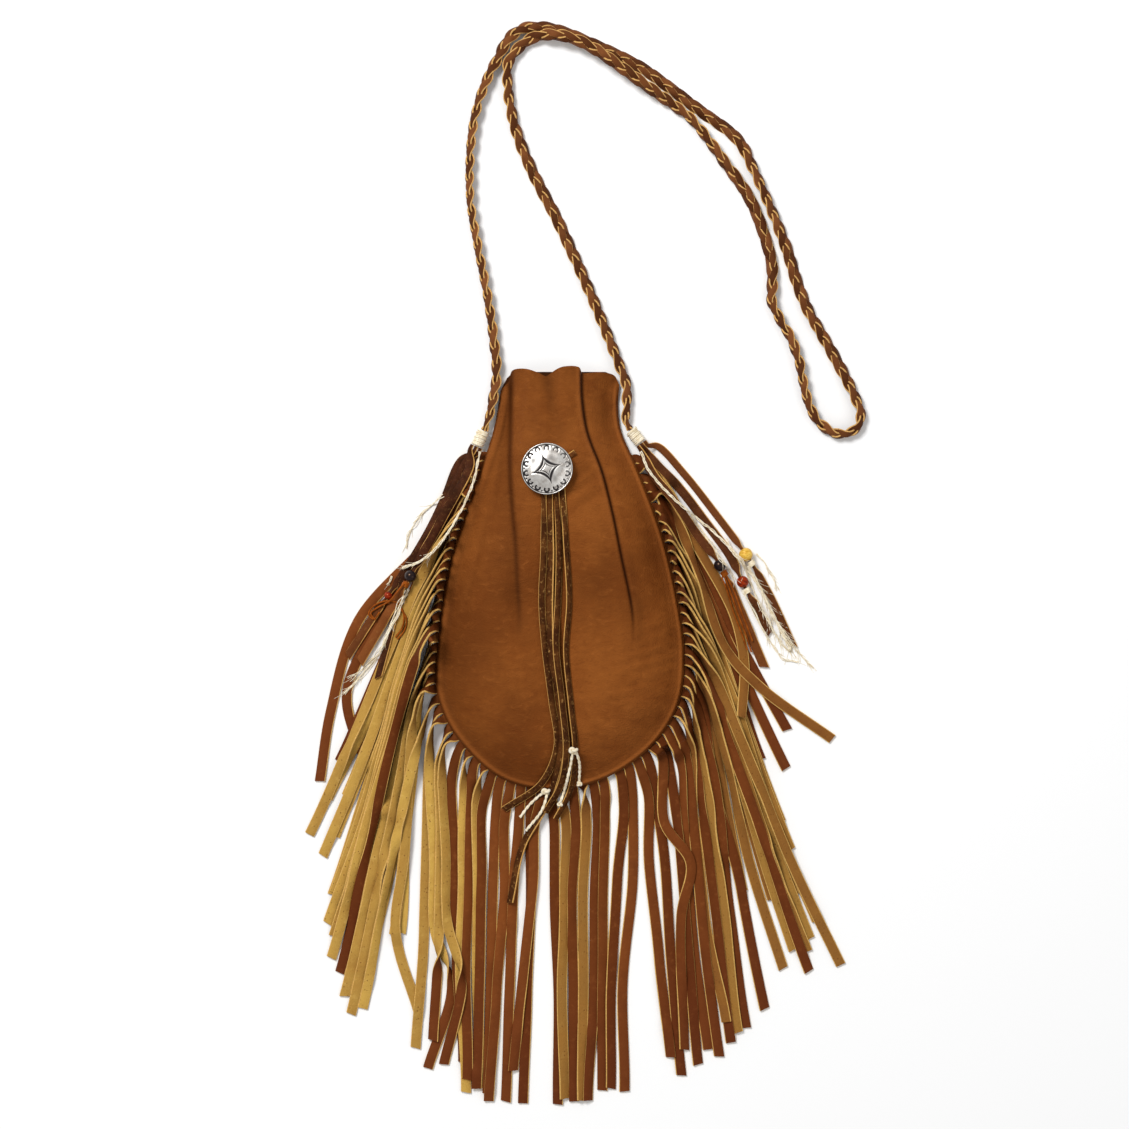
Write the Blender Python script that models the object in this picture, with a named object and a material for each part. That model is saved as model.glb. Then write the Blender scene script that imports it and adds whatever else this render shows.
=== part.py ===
# Fringed leather pouch bag, lying on its back.
# Metres, +Z up. The floor is z = 0, the front faces up and the mouth points to +Y.
# The origin is on the back panel's underside, at the middle of the pouch.
import math

import bmesh
import bpy
import numpy as np
from mathutils import Matrix, Vector

# Pouch
POUCH_WIDTH = 0.1404        # across the widest part of the seam
POUCH_HEIGHT = 0.2377       # from the bottom seam to the top of the mouth
POUCH_DEPTH = 0.0125        # free height inside, at the middle
SHOULDER = 0.034            # how far in from the seam the front reaches its full height
LEATHER = 0.0012            # front and back panels
SEAM_ALLOWANCE = 0.0065     # strip of front panel that is turned in along the seam
CLEARANCE = 0.0003          # between pieces that touch
PLEAT_STEP = 0.0030         # height of the two folds at the mouth
MOUTH_DIP = 0.0035          # depth of the crease in the middle of the mouth

# Fringe
BAND_LEATHER = 0.0012       # leather that the fringe is cut from
STRIP_WIDTH = 0.0055
STRIP_LENGTH = 0.176        # the longest ones
CUT = 0.0004                # gap that the shears leave between two strips
BAND_DEPTH = 0.0058         # part of the band that is held in the seam
BAND_PROUD = 0.0004         # part of the band that shows before the cuts begin
TURN_REACH = 0.0125         # how far a strip runs out before it bends down

# Strap and its bindings
STRAP_DIAMETER = 0.0072
STRAP_STEP = 0.0142
BINDING_RADIUS = 0.0040
BINDING_TURN = 0.0004       # height of one turn of thread over the next

# Concho and its thongs
CONCHO_DIAMETER = 0.0290
CONCHO_HEIGHT = 0.0030
CONCHO_METAL = 0.0009
THONG_LEATHER = 0.0013
CONCHO_THONG_WIDTH = 0.0040
TASSEL_THONG_WIDTH = 0.0058
THONG_IN_BEAD = 0.0020      # width that a thong is drawn in to inside a bead
THONG_IN_BINDING = 0.0021   # and at the end of its binding

# Beads and thread
BIG_BEAD = 0.0068
SMALL_BEAD = 0.0048
YELLOW_BEAD = 0.0078
SINEW = 0.0014
KNOT = 0.0040
LACE = 0.0012
WRAP_LENGTH = 0.0036
BEAD_LIP = 0.0002           # flat ring round the bore at a bead's ends
THREAD_STEP = 0.0045

# Scale of the drawing: the photograph's pixels, and the pouch's size in them
DRAWN_WIDTH = 248
DRAWN_HEIGHT = 420
DRAWN_STRIP = 311           # the longest strip of the fringe
DRAWN_ORIGIN = (560, 600)

# Seam, from the mouth's left corner round the bottom to its right corner
SEAM = (
    (501, 390), (494, 428), (474, 491), (450, 564), (439, 635), (437, 692), (455, 734),
    (500, 777), (548, 789), (600, 780), (650, 747), (678, 704), (684, 652), (677, 598),
    (662, 535), (639, 473), (621, 431), (618, 409), (619, 385),
)
# Front edge of the mouth, left to right
MOUTH = (
    (501, 390), (509, 381), (512, 372), (524, 370), (538, 374), (546, 378), (561, 369),
    (579, 369), (582, 374), (600, 373), (614, 376), (619, 385),
)
BACK_EDGE = 372             # the back panel's mouth edge
# The two folds, as shares of a row's width, at shares of the way up the seam
FOLD_HEIGHTS = (0.0, 0.3, 0.51, 0.65, 0.83, 1.0)
LEFT_FOLD = (0.33, 0.33, 0.332, 0.297, 0.188, 0.09)
RIGHT_FOLD = (0.67, 0.74, 0.80, 0.775, 0.766, 0.67)
FOLD_START = 0.50
CREASE = ((547, 378), (552, 409), (558, 430))

# Where each fringe band starts and ends along the seam
LEFT_RUN = ((486, 452), (608, 778))
RIGHT_RUN = ((614, 775), (633, 455))

# How a strip lies: flesh side up, grain side up, or flesh side first and then turned over
FLESH = 180
GRAIN = 0
TURNED = 360
# Where the tips lie, in the order of the strips along the seam
LEFT_TIPS = (
    (366, 742, GRAIN), (350, 752, GRAIN), (371, 775, GRAIN), (340, 762, GRAIN), (320, 781, GRAIN),
    (345, 795, FLESH), (330, 800, FLESH), (307, 833, FLESH), (338, 838, FLESH), (324, 856, FLESH),
    (362, 868, FLESH), (329, 893, FLESH), (336, 893, FLESH), (330, 924, FLESH), (356, 915, FLESH),
    (335, 936, FLESH), (332, 958, FLESH), (338, 972, GRAIN), (370, 960, FLESH), (345, 996, FLESH),
    (352, 1014, FLESH), (398, 932, FLESH), (394, 934, FLESH), (418, 1010, FLESH), (362, 1008, FLESH),
    (420, 1048, FLESH), (428, 1068, TURNED), (436, 1040, TURNED), (444, 1064, TURNED), (459, 1062, GRAIN),
    (465, 1092, FLESH), (465, 1079, GRAIN), (481, 1088, FLESH), (475, 1088, GRAIN), (485, 1093, GRAIN),
    (493, 1101, GRAIN), (504, 1101, GRAIN), (524, 1103, GRAIN), (513, 1070, GRAIN), (556, 1104, GRAIN),
    (566, 1098, FLESH), (573, 1101, GRAIN), (583, 1100, FLESH), (592, 1100, GRAIN), (602, 1090, GRAIN),
)
RIGHT_TIPS = (
    (611, 1088, GRAIN), (621, 1091, GRAIN), (668, 1057, GRAIN), (681, 1075, GRAIN), (684, 1049, GRAIN),
    (700, 1064, GRAIN), (709, 1049, GRAIN), (720, 1056, GRAIN), (721, 1022, FLESH), (732, 1042, GRAIN),
    (739, 1032, FLESH), (749, 1027, GRAIN), (759, 1010, GRAIN), (784, 968, FLESH), (809, 971, GRAIN),
    (840, 965, FLESH), (808, 951, FLESH), (811, 938, FLESH), (792, 950, FLESH), (815, 921, FLESH),
    (792, 896, FLESH), (770, 900, FLESH), (742, 892, FLESH), (736, 870, GRAIN), (776, 872, FLESH),
    (790, 850, FLESH), (762, 845, FLESH), (782, 822, FLESH), (740, 800, GRAIN), (832, 739, FLESH),
    (765, 757, GRAIN), (787, 768, GRAIN), (740, 716, FLESH), (785, 731, GRAIN),
)
# Strips that wander: the points that they pass on the way, by their place in the list
LEFT_BY_WAY = {2: ((412, 570), (380, 620), (347, 695)), 4: ((430, 540), (359, 620), (331, 711)),
               23: ((404, 860), (396, 933)), 26: ((434, 860), (435, 930), (452, 985)),
               28: ((446, 860), (447, 920), (462, 980))}
RIGHT_BY_WAY = {4: ((664, 822), (690, 862), (681, 915)), 29: ((699, 580), (724, 647), (760, 687)),
                32: ((690, 535), (733, 613), (744, 665))}
# Strips that lie on top of the others
LEFT_ON_TOP = (4, 28)
RIGHT_ON_TOP = (4, 29, 32)

# Strap, from the left binding to the right one: x and y on the drawing, height over the floor
STRAP_ROUTE = (
    (490, 411, 0), (493.5, 392, 0), (496, 375, 0), (493.5, 345, 0), (487.5, 300, 0), (478, 250, 0),
    (470, 200, 0), (470, 150, 0), (474, 119, 0), (483, 88, 0), (497, 59, 0), (510, 37, 0),
    (525, 28, 0), (541, 27, 0), (560, 31, 0), (588, 42, 0), (640, 67, 0), (667, 86, 0),
    (703, 113, 0), (732, 134, 0), (743, 147, 0), (752, 166, 0), (771.5, 210, 0), (787, 250, 0),
    (796, 280, 0), (807, 308, 0), (821, 333, 0), (850, 386, 0), (859, 407, 0), (861, 415, 0),
    (855, 430, 0), (838, 435, 0), (822, 427, 0), (810, 411, 0), (803, 388, 0), (798, 363, 0),
    (789, 338, 0), (778, 319, 0), (770, 301, 0), (771, 285, 0), (771, 264, 0), (767, 246, 0),
    (754, 209, 0), (741, 186, 0), (727, 168, 0), (705, 138, 0), (690, 120, 0), (674, 107.5, 0),
    (645, 88, 0.0056), (583, 46, 0.0066), (555, 38, 0.0057), (532, 40, 0.0005), (510, 62, 0),
    (509, 90, 0), (511.5, 109, 0), (519, 138, 0), (535.7, 178, 0), (556, 217, 0), (592, 296, 0),
    (617, 358, 0), (627, 386, 0),
)
# Bindings: where the strap goes in and where the tassel comes out
LEFT_BINDING = ((484, 431), (477, 446.5))
RIGHT_BINDING = ((630.5, 430), (640.5, 443.5))

# Concho and what hangs from it
CONCHO_PLACE = (547, 470)
STUB_ROUTE = ((556, 464), (566, 459), (575, 453))
CONCHO_THONGS = (
    ((544, 480), (544, 550), (542, 600), (545, 645), (552, 700), (557, 745), (541, 783), (504, 809)),
    ((550, 480), (551, 550), (550, 612), (552, 660), (560, 700), (561, 750), (548, 800), (523, 845),
     (510, 902)),
    ((556, 480), (559, 546), (558, 600), (556, 645), (562, 700), (566, 750), (560, 785), (545, 812)),
    ((562, 480), (566, 545), (569, 600), (566, 650), (571, 705), (575, 750), (570, 790), (556, 818)),
)
TIES = {
    "concho_tie_right": ((560, 803), (566, 783), (570, 765), (574, 748), (579, 760), (579, 783)),
    "concho_tie_left": ((520, 817), (531, 803), (546.5, 791), (542, 809), (526, 830)),
}
TIE_KNOTS = {"concho_tie_right": (574, 748), "concho_tie_left": (546.5, 791)}

# Tassels: each thong's route from its binding, and the bead on it: its place, name, diameter
# and colour, and the name and colour of the wrap under it
BLACK = (0.010, 0.010, 0.018)
RED = (0.250, 0.030, 0.010)
YELLOW = (0.600, 0.380, 0.070)
SINEW_CREAM = (0.800, 0.740, 0.560)
LACE_ORANGE = (0.350, 0.090, 0.020)
LEFT_TASSEL = (
    (((462, 460), (444, 500), (427, 535), (404, 573), (389, 595), (380, 607), (348, 656)),
     ((389, 595), "left_red_bead", SMALL_BEAD, RED, None, None)),
    (((466, 462), (443, 512), (420, 548), (403, 582), (396, 612), (379, 677)), None),
    (((470, 468), (447, 511), (432, 539), (412.5, 574.5), (393, 606), (360, 662)),
     ((412.5, 574.5), "left_dark_bead", BIG_BEAD, BLACK, "left_lace_wrap", LACE_ORANGE)),
)
RIGHT_TASSEL = (
    (((657, 446), (684, 474), (714, 512), (745, 554), (768, 592), (793, 646)),
     ((745, 554), "right_yellow_bead", YELLOW_BEAD, YELLOW, "right_yellow_bead_wrap", SINEW_CREAM)),
    (((653, 461), (680, 489), (703, 519), (730, 556), (742, 582), (770, 633)),
     ((742, 582), "right_red_bead", BIG_BEAD, RED, "right_sinew_wrap", SINEW_CREAM)),
    (((650, 470), (676, 505), (697, 535), (719, 564), (740, 610), (764, 667)),
     ((719, 564), "right_dark_bead", BIG_BEAD, BLACK, "right_lace_wrap", LACE_ORANGE)),
)
LEFT_LACE = ((380, 612), (374, 619), (369, 614), (374, 606), (386, 601), (398, 603), (404, 613),
             (403, 627), (396, 637))
SINEWS = {
    "left_sinew": ((480, 452), (474, 482), (459, 516), (437, 549), (420, 562), (403, 568)),
    "right_sinew": ((640, 452), (649, 472), (673, 499), (700, 521), (719, 537), (739, 560),
                    (757, 583), (773, 615), (790, 650)),
}

# Cross sections along a strip, as shares of its length
STRIP_STATIONS = (0.0, 0.017, 0.042, 0.075, 0.12, 0.19, 0.36, 0.58, 0.79, 1.0)
# Roll of a strip that turns its flesh side up, at lengths along it
ROLL_LENGTHS = (0.0, 0.004, 0.010, 0.018, 0.032)
ROLL_SHARES = (0.0, 0.40, 0.56, 0.74, 1.0)
TURN_OVER = (0.62, 0.82)    # where a turned strip goes back to its grain side

CELL = 0.0004               # grid of the heights that pieces lie on
FLOOR_GAP = 0.00005
GIVE = 0.0006               # how far strips of one band press into each other
PILE = 0.0095               # height of the fringe's pile


def spot(x, y):
    """A point of the drawing, in metres."""
    return (
        (x - DRAWN_ORIGIN[0]) * POUCH_WIDTH / DRAWN_WIDTH,
        (DRAWN_ORIGIN[1] - y) * POUCH_HEIGHT / DRAWN_HEIGHT,
    )


def smooth_step(value):
    value = np.clip(value, 0.0, 1.0)
    return value * value * (3 - 2 * value)


def smooth_route(points, step):
    """A smooth curve through the points, with a point every step or a little less."""
    points = np.array(points, float)
    ends = (2 * points[0] - points[1], 2 * points[-1] - points[-2])
    padded = np.vstack((ends[0], points, ends[1]))
    curve = []
    for i in range(1, len(padded) - 2):
        p0, p1, p2, p3 = padded[i - 1:i + 3]
        t0, t1, t2, t3 = 0.0, *np.cumsum([
            math.sqrt(max(np.linalg.norm(b - a), 1e-9)) for a, b in ((p0, p1), (p1, p2), (p2, p3))
        ])
        t = np.linspace(t1, t2, 40, endpoint=False)[:, None]
        a1 = (t1 - t) / (t1 - t0) * p0 + (t - t0) / (t1 - t0) * p1
        a2 = (t2 - t) / (t2 - t1) * p1 + (t - t1) / (t2 - t1) * p2
        a3 = (t3 - t) / (t3 - t2) * p2 + (t - t2) / (t3 - t2) * p3
        b1 = (t2 - t) / (t2 - t0) * a1 + (t - t0) / (t2 - t0) * a2
        b2 = (t3 - t) / (t3 - t1) * a2 + (t - t1) / (t3 - t1) * a3
        curve.append((t2 - t) / (t2 - t1) * b1 + (t - t1) / (t2 - t1) * b2)
    curve = np.vstack(curve + [points[-1:]])
    total = lengths_along(curve)[-1]
    return at_lengths(curve, np.linspace(0, total, max(2, math.ceil(total / step) + 1)))


def lengths_along(curve):
    return np.concatenate(([0.0], np.cumsum(np.linalg.norm(np.diff(curve, axis=0), axis=1))))


def at_lengths(curve, wanted):
    """Points at the wanted lengths; past its end the curve runs on straight."""
    along = lengths_along(curve)
    inside = np.stack([np.interp(wanted, along, curve[:, k]) for k in range(curve.shape[1])], axis=1)
    heading = curve[-1] - curve[-2]
    heading = heading / np.linalg.norm(heading)
    past = np.maximum(np.asarray(wanted) - along[-1], 0.0)
    return inside + past[:, None] * heading


class Heights:
    """The highest surface so far over each cell of the floor.

    top has every surface; settled has those of finished pieces, a cell wider all round.
    """

    def __init__(self):
        self.low = np.array(spot(240, 1180))
        size = np.array(spot(920, 0)) - self.low
        self.shape = np.ceil(size / CELL).astype(int)
        self.top = np.full(self.shape, FLOOR_GAP - CLEARANCE)
        self.settled = self.top.copy()

    def cells(self, x, y):
        column = np.clip(((x - self.low[0]) / CELL).astype(int), 1, self.shape[0] - 2)
        row = np.clip(((y - self.low[1]) / CELL).astype(int), 1, self.shape[1] - 2)
        return column, row

    def under(self, x, y):
        return np.maximum(self.top[self.cells(x, y)], self.settled[self.cells(x, y)])

    def settled_under(self, x, y):
        return self.settled[self.cells(x, y)]

    def cover(self, x, y, z):
        column, row = self.cells(np.ravel(x), np.ravel(y))
        np.maximum.at(self.top, (column, row), np.ravel(z))

    def settle(self):
        wide = np.maximum(self.top[1:], self.top[:-1])
        across = np.vstack((wide[:1], np.maximum(wide[1:], wide[:-1]), wide[-1:]))
        wide = np.maximum(across[:, 1:], across[:, :-1])
        self.settled = np.hstack((wide[:, :1], np.maximum(wide[:, 1:], wide[:, :-1]), wide[:, -1:]))


HEIGHTS = Heights()


def finish(name, mesh_data, colour, roughness, metallic=0.0, smooth=True):
    """Make the named object from a bmesh, with its own material."""
    bmesh.ops.recalc_face_normals(mesh_data, faces=mesh_data.faces)
    mesh = bpy.data.meshes.new(name)
    mesh_data.to_mesh(mesh)
    mesh_data.free()
    obj = bpy.data.objects.new(name, mesh)
    bpy.context.scene.collection.objects.link(obj)
    if smooth:
        mesh.shade_smooth()
        mesh.set_sharp_from_angle(angle=math.radians(35))
    paint(obj, colour, roughness, metallic)
    return obj


def paint(obj, colour, roughness, metallic=0.0):
    material = bpy.data.materials.new(obj.name)
    material.use_nodes = True
    shader = material.node_tree.nodes["Principled BSDF"]
    shader.inputs["Base Color"].default_value = (*colour, 1.0)
    shader.inputs["Roughness"].default_value = roughness
    shader.inputs["Metallic"].default_value = metallic
    material.diffuse_color = (*colour, 1.0)
    obj.data.materials.append(material)


GRAIN_BROWN = (0.235, 0.078, 0.020)
DARK_BROWN = (0.080, 0.025, 0.010)
SUEDE_GOLD = (0.500, 0.300, 0.075)
LEATHER_ROUGHNESS = 0.6

SEAM_CURVE = smooth_route([spot(*p) for p in SEAM], 0.0005)
SEAM_LENGTHS = lengths_along(SEAM_CURVE)


def seam_length_at(x, y):
    """How far along the seam its nearest point to a spot of the drawing is."""
    return SEAM_LENGTHS[np.argmin(np.linalg.norm(SEAM_CURVE - np.array(spot(x, y)), axis=1))]


def on_seam(length):
    """The seam's point and its outward direction."""
    point = at_lengths(SEAM_CURVE, [length])[0]
    ahead = at_lengths(SEAM_CURVE, [min(length + 0.002, SEAM_LENGTHS[-1])])[0]
    behind = at_lengths(SEAM_CURVE, [max(length - 0.002, 0.0)])[0]
    along = (ahead - behind) / np.linalg.norm(ahead - behind)
    return point, np.array((along[1], -along[0]))


def from_seam(points):
    """Distance of each point to the seam."""
    apart = points[..., None, :] - SEAM_CURVE
    return np.sqrt((apart ** 2).sum(axis=-1)).min(axis=-1)


# Panels

PANEL_ROWS = 26
SIDE_COLUMNS = (0.0, 0.05, 0.14, 0.30, 0.52, 0.76, 1.0)
MIDDLE_COLUMNS = 9
FOLD_RUN = 0.0005           # half the width over which a fold steps down
RIM_ROUND = 0.002           # how far in from the seam the turned edge is full
BAND_LOW = LEATHER + CLEARANCE
BAND_HIGH = BAND_LOW + BAND_LEATHER
RIM = BAND_HIGH + CLEARANCE


def seam_sides(shares):
    """Points of the left and right halves of the seam, bottom to mouth."""
    bottom = seam_length_at(548, 789)
    left = at_lengths(SEAM_CURVE, bottom * (1 - shares))
    right = at_lengths(SEAM_CURVE, bottom + (SEAM_LENGTHS[-1] - bottom) * shares)
    return left, right


def fold_shares(shares):
    left = np.interp(shares, FOLD_HEIGHTS, LEFT_FOLD)
    right = np.interp(shares, FOLD_HEIGHTS, RIGHT_FOLD)
    return left, right


def front_columns(width, left_fold, right_fold):
    """Shares of a row at which the front panel has its columns."""
    step = min(FOLD_RUN / width, 0.02)
    side = np.array(SIDE_COLUMNS)
    left = side * (left_fold - step)
    middle = np.linspace(left_fold + step, right_fold - step, MIDDLE_COLUMNS)
    right = 1 - (side * (1 - right_fold - step))[::-1]
    return np.concatenate((left, middle, right))


def mouth_lift(columns, left, right, edge):
    """How far the mouth's edge stands over the straight line between its corners."""
    edge = np.array([spot(*p) for p in edge])
    x = left[0] + (right[0] - left[0]) * columns
    straight = left[1] + (right[1] - left[1]) * columns
    return np.interp(x, edge[:, 0], edge[:, 1]) - straight


def panel_grid(columns_of_row, edge):
    """Rows of points across the pouch, from just over the bottom of the seam to the mouth."""
    shares = np.arange(1, PANEL_ROWS + 1) / PANEL_ROWS
    left, right = seam_sides(shares)
    folds = np.stack(fold_shares(shares), axis=1)
    rows = []
    for share, a, b, fold in zip(shares, left, right, folds):
        columns = columns_of_row(np.linalg.norm(b - a), *fold)
        row = a + (b - a) * columns[:, None]
        row[:, 1] += mouth_lift(columns, left[-1], right[-1], edge) * smooth_step((share - 0.86) / 0.14)
        rows.append(np.column_stack((row, columns)))
    return shares, np.array(rows)


def dome(distance):
    reach = np.clip((distance - SEAM_ALLOWANCE) / SHOULDER, 0, 1)
    return 1 - (1 - reach) ** 2


def front_surfaces(shares, grid):
    """Under and upper heights of the front panel over its grid."""
    distance = from_seam(grid[..., :2])
    columns = grid[..., 2]
    share = shares[:, None]
    left_fold, right_fold = (fold[:, None] for fold in fold_shares(shares))
    band_top = seam_share_of_binding()
    rim = RIM - (RIM - BAND_LOW) * smooth_step((share - band_top) / 0.05)
    under = rim + POUCH_DEPTH * dome(distance)
    between = (columns > left_fold) & (columns < right_fold)
    under = under + PLEAT_STEP * between * smooth_step((share - FOLD_START) / 0.35)
    crease = np.array([spot(*p) for p in CREASE])
    crease_x = np.interp(grid[..., 1], crease[::-1, 1], crease[::-1, 0])
    away = (grid[..., 0] - crease_x) / 0.006
    under = under - MOUTH_DIP * np.exp(-away ** 2) * smooth_step((share - 0.80) / 0.2)
    turned = smooth_step(distance / RIM_ROUND) * 1.4 - 0.4
    turned = turned - smooth_step((distance - SEAM_ALLOWANCE) / 0.004)
    return under, under + LEATHER + LEATHER * turned


def seam_share_of_binding():
    bottom = seam_length_at(548, 789)
    return 1 - seam_length_at(*LEFT_RUN[0]) / bottom


def sheet_body(grid, under, upper, bottom_point, bottom_heights):
    """A closed sheet from its grid and its under and upper heights."""
    body = bmesh.new()
    layers = []
    for heights, bottom in ((under, bottom_heights[0]), (upper, bottom_heights[1])):
        rows = [
            [body.verts.new((p[0], p[1], z)) for p, z in zip(row, row_heights)]
            for row, row_heights in zip(grid, heights)
        ]
        layers.append((rows, body.verts.new((*bottom_point, bottom))))
    for rows, tip in layers:
        for a, b in zip(rows[0], rows[0][1:]):
            body.faces.new((tip, a, b))
        for low, high in zip(rows, rows[1:]):
            for i in range(len(low) - 1):
                body.faces.new((low[i], low[i + 1], high[i + 1], high[i]))
    (low_rows, low_tip), (high_rows, high_tip) = layers
    rim_low = [low_tip] + [row[-1] for row in low_rows] + low_rows[-1][-2::-1]
    rim_low += [row[0] for row in low_rows[-2::-1]]
    rim_high = [high_tip] + [row[-1] for row in high_rows] + high_rows[-1][-2::-1]
    rim_high += [row[0] for row in high_rows[-2::-1]]
    for i in range(len(rim_low)):
        j = (i + 1) % len(rim_low)
        body.faces.new((rim_low[i], rim_low[j], rim_high[j], rim_high[i]))
    return body


def make_front_panel():
    shares, grid = panel_grid(front_columns, MOUTH)
    under, upper = front_surfaces(shares, grid)
    bottom = at_lengths(SEAM_CURVE, [seam_length_at(548, 789)])[0]
    heights = (RIM, RIM + LEATHER * 0.6)
    finish("front_panel", sheet_body(grid, under, upper, bottom, heights), GRAIN_BROWN, LEATHER_ROUGHNESS)
    cover_grid(grid, upper)
    HEIGHTS.settle()


def cover_grid(grid, upper):
    """Mark the front panel's top in the heights."""
    points = np.dstack((grid[..., :2], upper))
    for share_row in np.linspace(0, 1, 32, endpoint=False):
        across = points[:-1] + (points[1:] - points[:-1]) * share_row
        for share in np.linspace(0, 1, 32):
            spread = across[:, :-1] + (across[:, 1:] - across[:, :-1]) * share
            HEIGHTS.cover(spread[..., 0], spread[..., 1], spread[..., 2])


def make_back_panel():
    top = BACK_EDGE
    edge = ((501, 390), (507, top + 6), (514, top), (606, top), (614, top + 5), (619, 385))
    shares, grid = panel_grid(lambda width, left, right: np.linspace(0, 1, 7), edge)
    flat = np.zeros(grid.shape[:2])
    bottom = at_lengths(SEAM_CURVE, [seam_length_at(548, 789)])[0]
    body = sheet_body(grid, flat, flat + LEATHER, bottom, (0.0, LEATHER))
    finish("back_panel", body, GRAIN_BROWN, LEATHER_ROUGHNESS)


# Ribbons that lie on what is under them

def headings(route):
    """Horizontal direction of a route at each of its points."""
    ahead = np.gradient(route, axis=0)
    return ahead / np.linalg.norm(ahead, axis=1)[:, None]


def sideways(heading, hand):
    """Horizontal direction across a route, on its hand side."""
    return hand * np.stack((heading[:, 1], -heading[:, 0]), axis=1)


ACROSS = np.linspace(-0.5, 0.5, 13)
TILTS = np.radians(np.arange(-40, 41, 5))


def needed_height(route, side, width, roll, thickness, under):
    """Lowest height of the middle of a ribbon at which it clears what is under it."""
    worst = np.full(len(route), -1.0)
    part = ACROSS[None, :] * width[:, None]
    level, rise = np.cos(roll)[:, None], np.sin(roll)[:, None]
    for face in (-0.5, 0.5):
        shift = part * level - face * thickness * rise
        lift = part * rise + face * thickness * level
        x = route[:, 0, None] + side[:, 0, None] * shift
        y = route[:, 1, None] + side[:, 1, None] * shift
        worst = np.maximum(worst, (under(x, y) + CLEARANCE - lift).max(axis=1))
    return worst


def blurred(values, reach):
    kernel = np.ones(2 * reach + 1) / (2 * reach + 1)
    return np.convolve(np.pad(values, reach, mode="edge"), kernel, mode="valid")


def widened(values, reach):
    padded = np.pad(values, reach, mode="edge")
    return np.max([padded[i:i + len(values)] for i in range(2 * reach + 1)], axis=0)


def lie(route, hand, width, roll, thickness, least=0.0, most=1.0):
    """Roll and height of a ribbon along its route, so that it rests on what is under it."""
    side = sideways(headings(route), hand)
    tries = []
    for tilt in TILTS:
        height = needed_height(route, side, width, roll + tilt, thickness, HEIGHTS.under)
        tries.append(height + abs(tilt) * 0.0004)
    tilt = TILTS[np.argmin(tries, axis=0)] * np.abs(np.cos(roll)) ** 4
    roll = roll + blurred(tilt, 5)
    height = needed_height(route, side, width, roll, thickness, HEIGHTS.under)
    height = blurred(widened(np.maximum(height, least), 2), 2)
    settled = needed_height(route, side, width, roll, thickness, HEIGHTS.settled_under)
    return roll, np.maximum(np.minimum(height, most), settled), side


def section_corners(centre, side, width, roll, thickness):
    """The four corners of a ribbon's section: two on its near edge, two on its far edge."""
    across = np.array((*(side * math.cos(roll)), math.sin(roll))) * width / 2
    normal = np.array((*(-side * math.sin(roll)), math.cos(roll))) * thickness / 2
    return [centre + across - normal, centre - across - normal, centre - across + normal,
            centre + across + normal]


def between(a, b, along, across):
    """Points of the eight triangles that join two sections, as x, y and z."""
    near, far = [0, 3, 0, 1], [1, 2, 3, 2]
    s = np.linspace(0, 1, along)[:, None, None, None]
    c = np.linspace(0, 1, across)[None, :, None, None]
    first = a[near] + c * (a[far] - a[near]) + s * (b[far] - a[far])
    second = a[near] + s * (b[near] - a[near]) + c * (b[far] - b[near])
    points = np.where(c >= s, first, second)
    return points[..., 0], points[..., 1], points[..., 2]


def lift_clear(sections, give=0.0):
    """Raise sections until the faces between them clear what is under them."""
    sections = np.array(sections)
    for _ in range(30):
        worst = 0.0
        for i in range(len(sections) - 1):
            x, y, z = between(sections[i], sections[i + 1], 29, 13)
            missing = (HEIGHTS.settled_under(x, y) + CLEARANCE - z).max()
            if give:
                missing = max(missing, min((HEIGHTS.under(x, y) - z).max() - give, PILE - z.max()))
            if missing > 1e-6:
                sections[i][:, 2] += missing
                sections[i + 1][:, 2] += missing
                worst = max(worst, missing)
        if worst <= 1e-6:
            break
    return sections


def cover_sections(sections):
    """Mark a ribbon's surfaces in the heights."""
    for a, b in zip(sections, sections[1:]):
        count = max(6, int(np.linalg.norm(b - a, axis=1).max() / 0.0003))
        HEIGHTS.cover(*between(a, b, count, 19))


def sweep(body, corners, first=None):
    """Join sections of four corners into a ribbon that is closed at its far end."""
    previous = first
    for section in corners:
        ring = [body.verts.new(p) for p in section]
        if previous is None:
            body.faces.new(ring)
        else:
            for near, far in ((0, 1), (3, 2), (0, 3), (1, 2)):
                body.faces.new((previous[near], previous[far], ring[far]))
                body.faces.new((previous[near], ring[far], ring[near]))
        previous = ring
    body.faces.new(previous[::-1])


# Fringe

def strip_route(root, outward, tip, by_way):
    """A strip's course over the floor: out of the seam, round its bend and on to its tip."""
    reach = STRIP_LENGTH / (DRAWN_STRIP * POUCH_HEIGHT / DRAWN_HEIGHT)
    tip = root + (np.array(spot(*tip)) - root) * reach
    if by_way:
        middle = [root + (np.array(spot(*p)) - root) * reach for p in by_way]
        return smooth_route([root, root + outward * TURN_REACH * 0.6, *middle, tip], 0.0005)
    bend = root + outward * TURN_REACH
    late = tip - (tip - root) * 0.45
    t = np.linspace(0, 1, 241)[:, None]
    return (1 - t) ** 3 * root + 3 * t * (1 - t) ** 2 * bend + 3 * t ** 2 * (1 - t) * late + t ** 3 * tip


def strip_roll(along, finish_side):
    """Roll of a strip at lengths along it: the edge on the inside of its bend lifts."""
    if finish_side == GRAIN:
        return -np.radians(35) * np.sin(math.pi * np.clip(along / 0.03, 0, 1))
    roll = -math.pi * np.interp(along, ROLL_LENGTHS, ROLL_SHARES)
    if finish_side == TURNED:
        start, end = TURN_OVER
        roll = roll - math.pi * smooth_step((along / along[-1] - start) / (end - start))
    return roll


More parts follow.
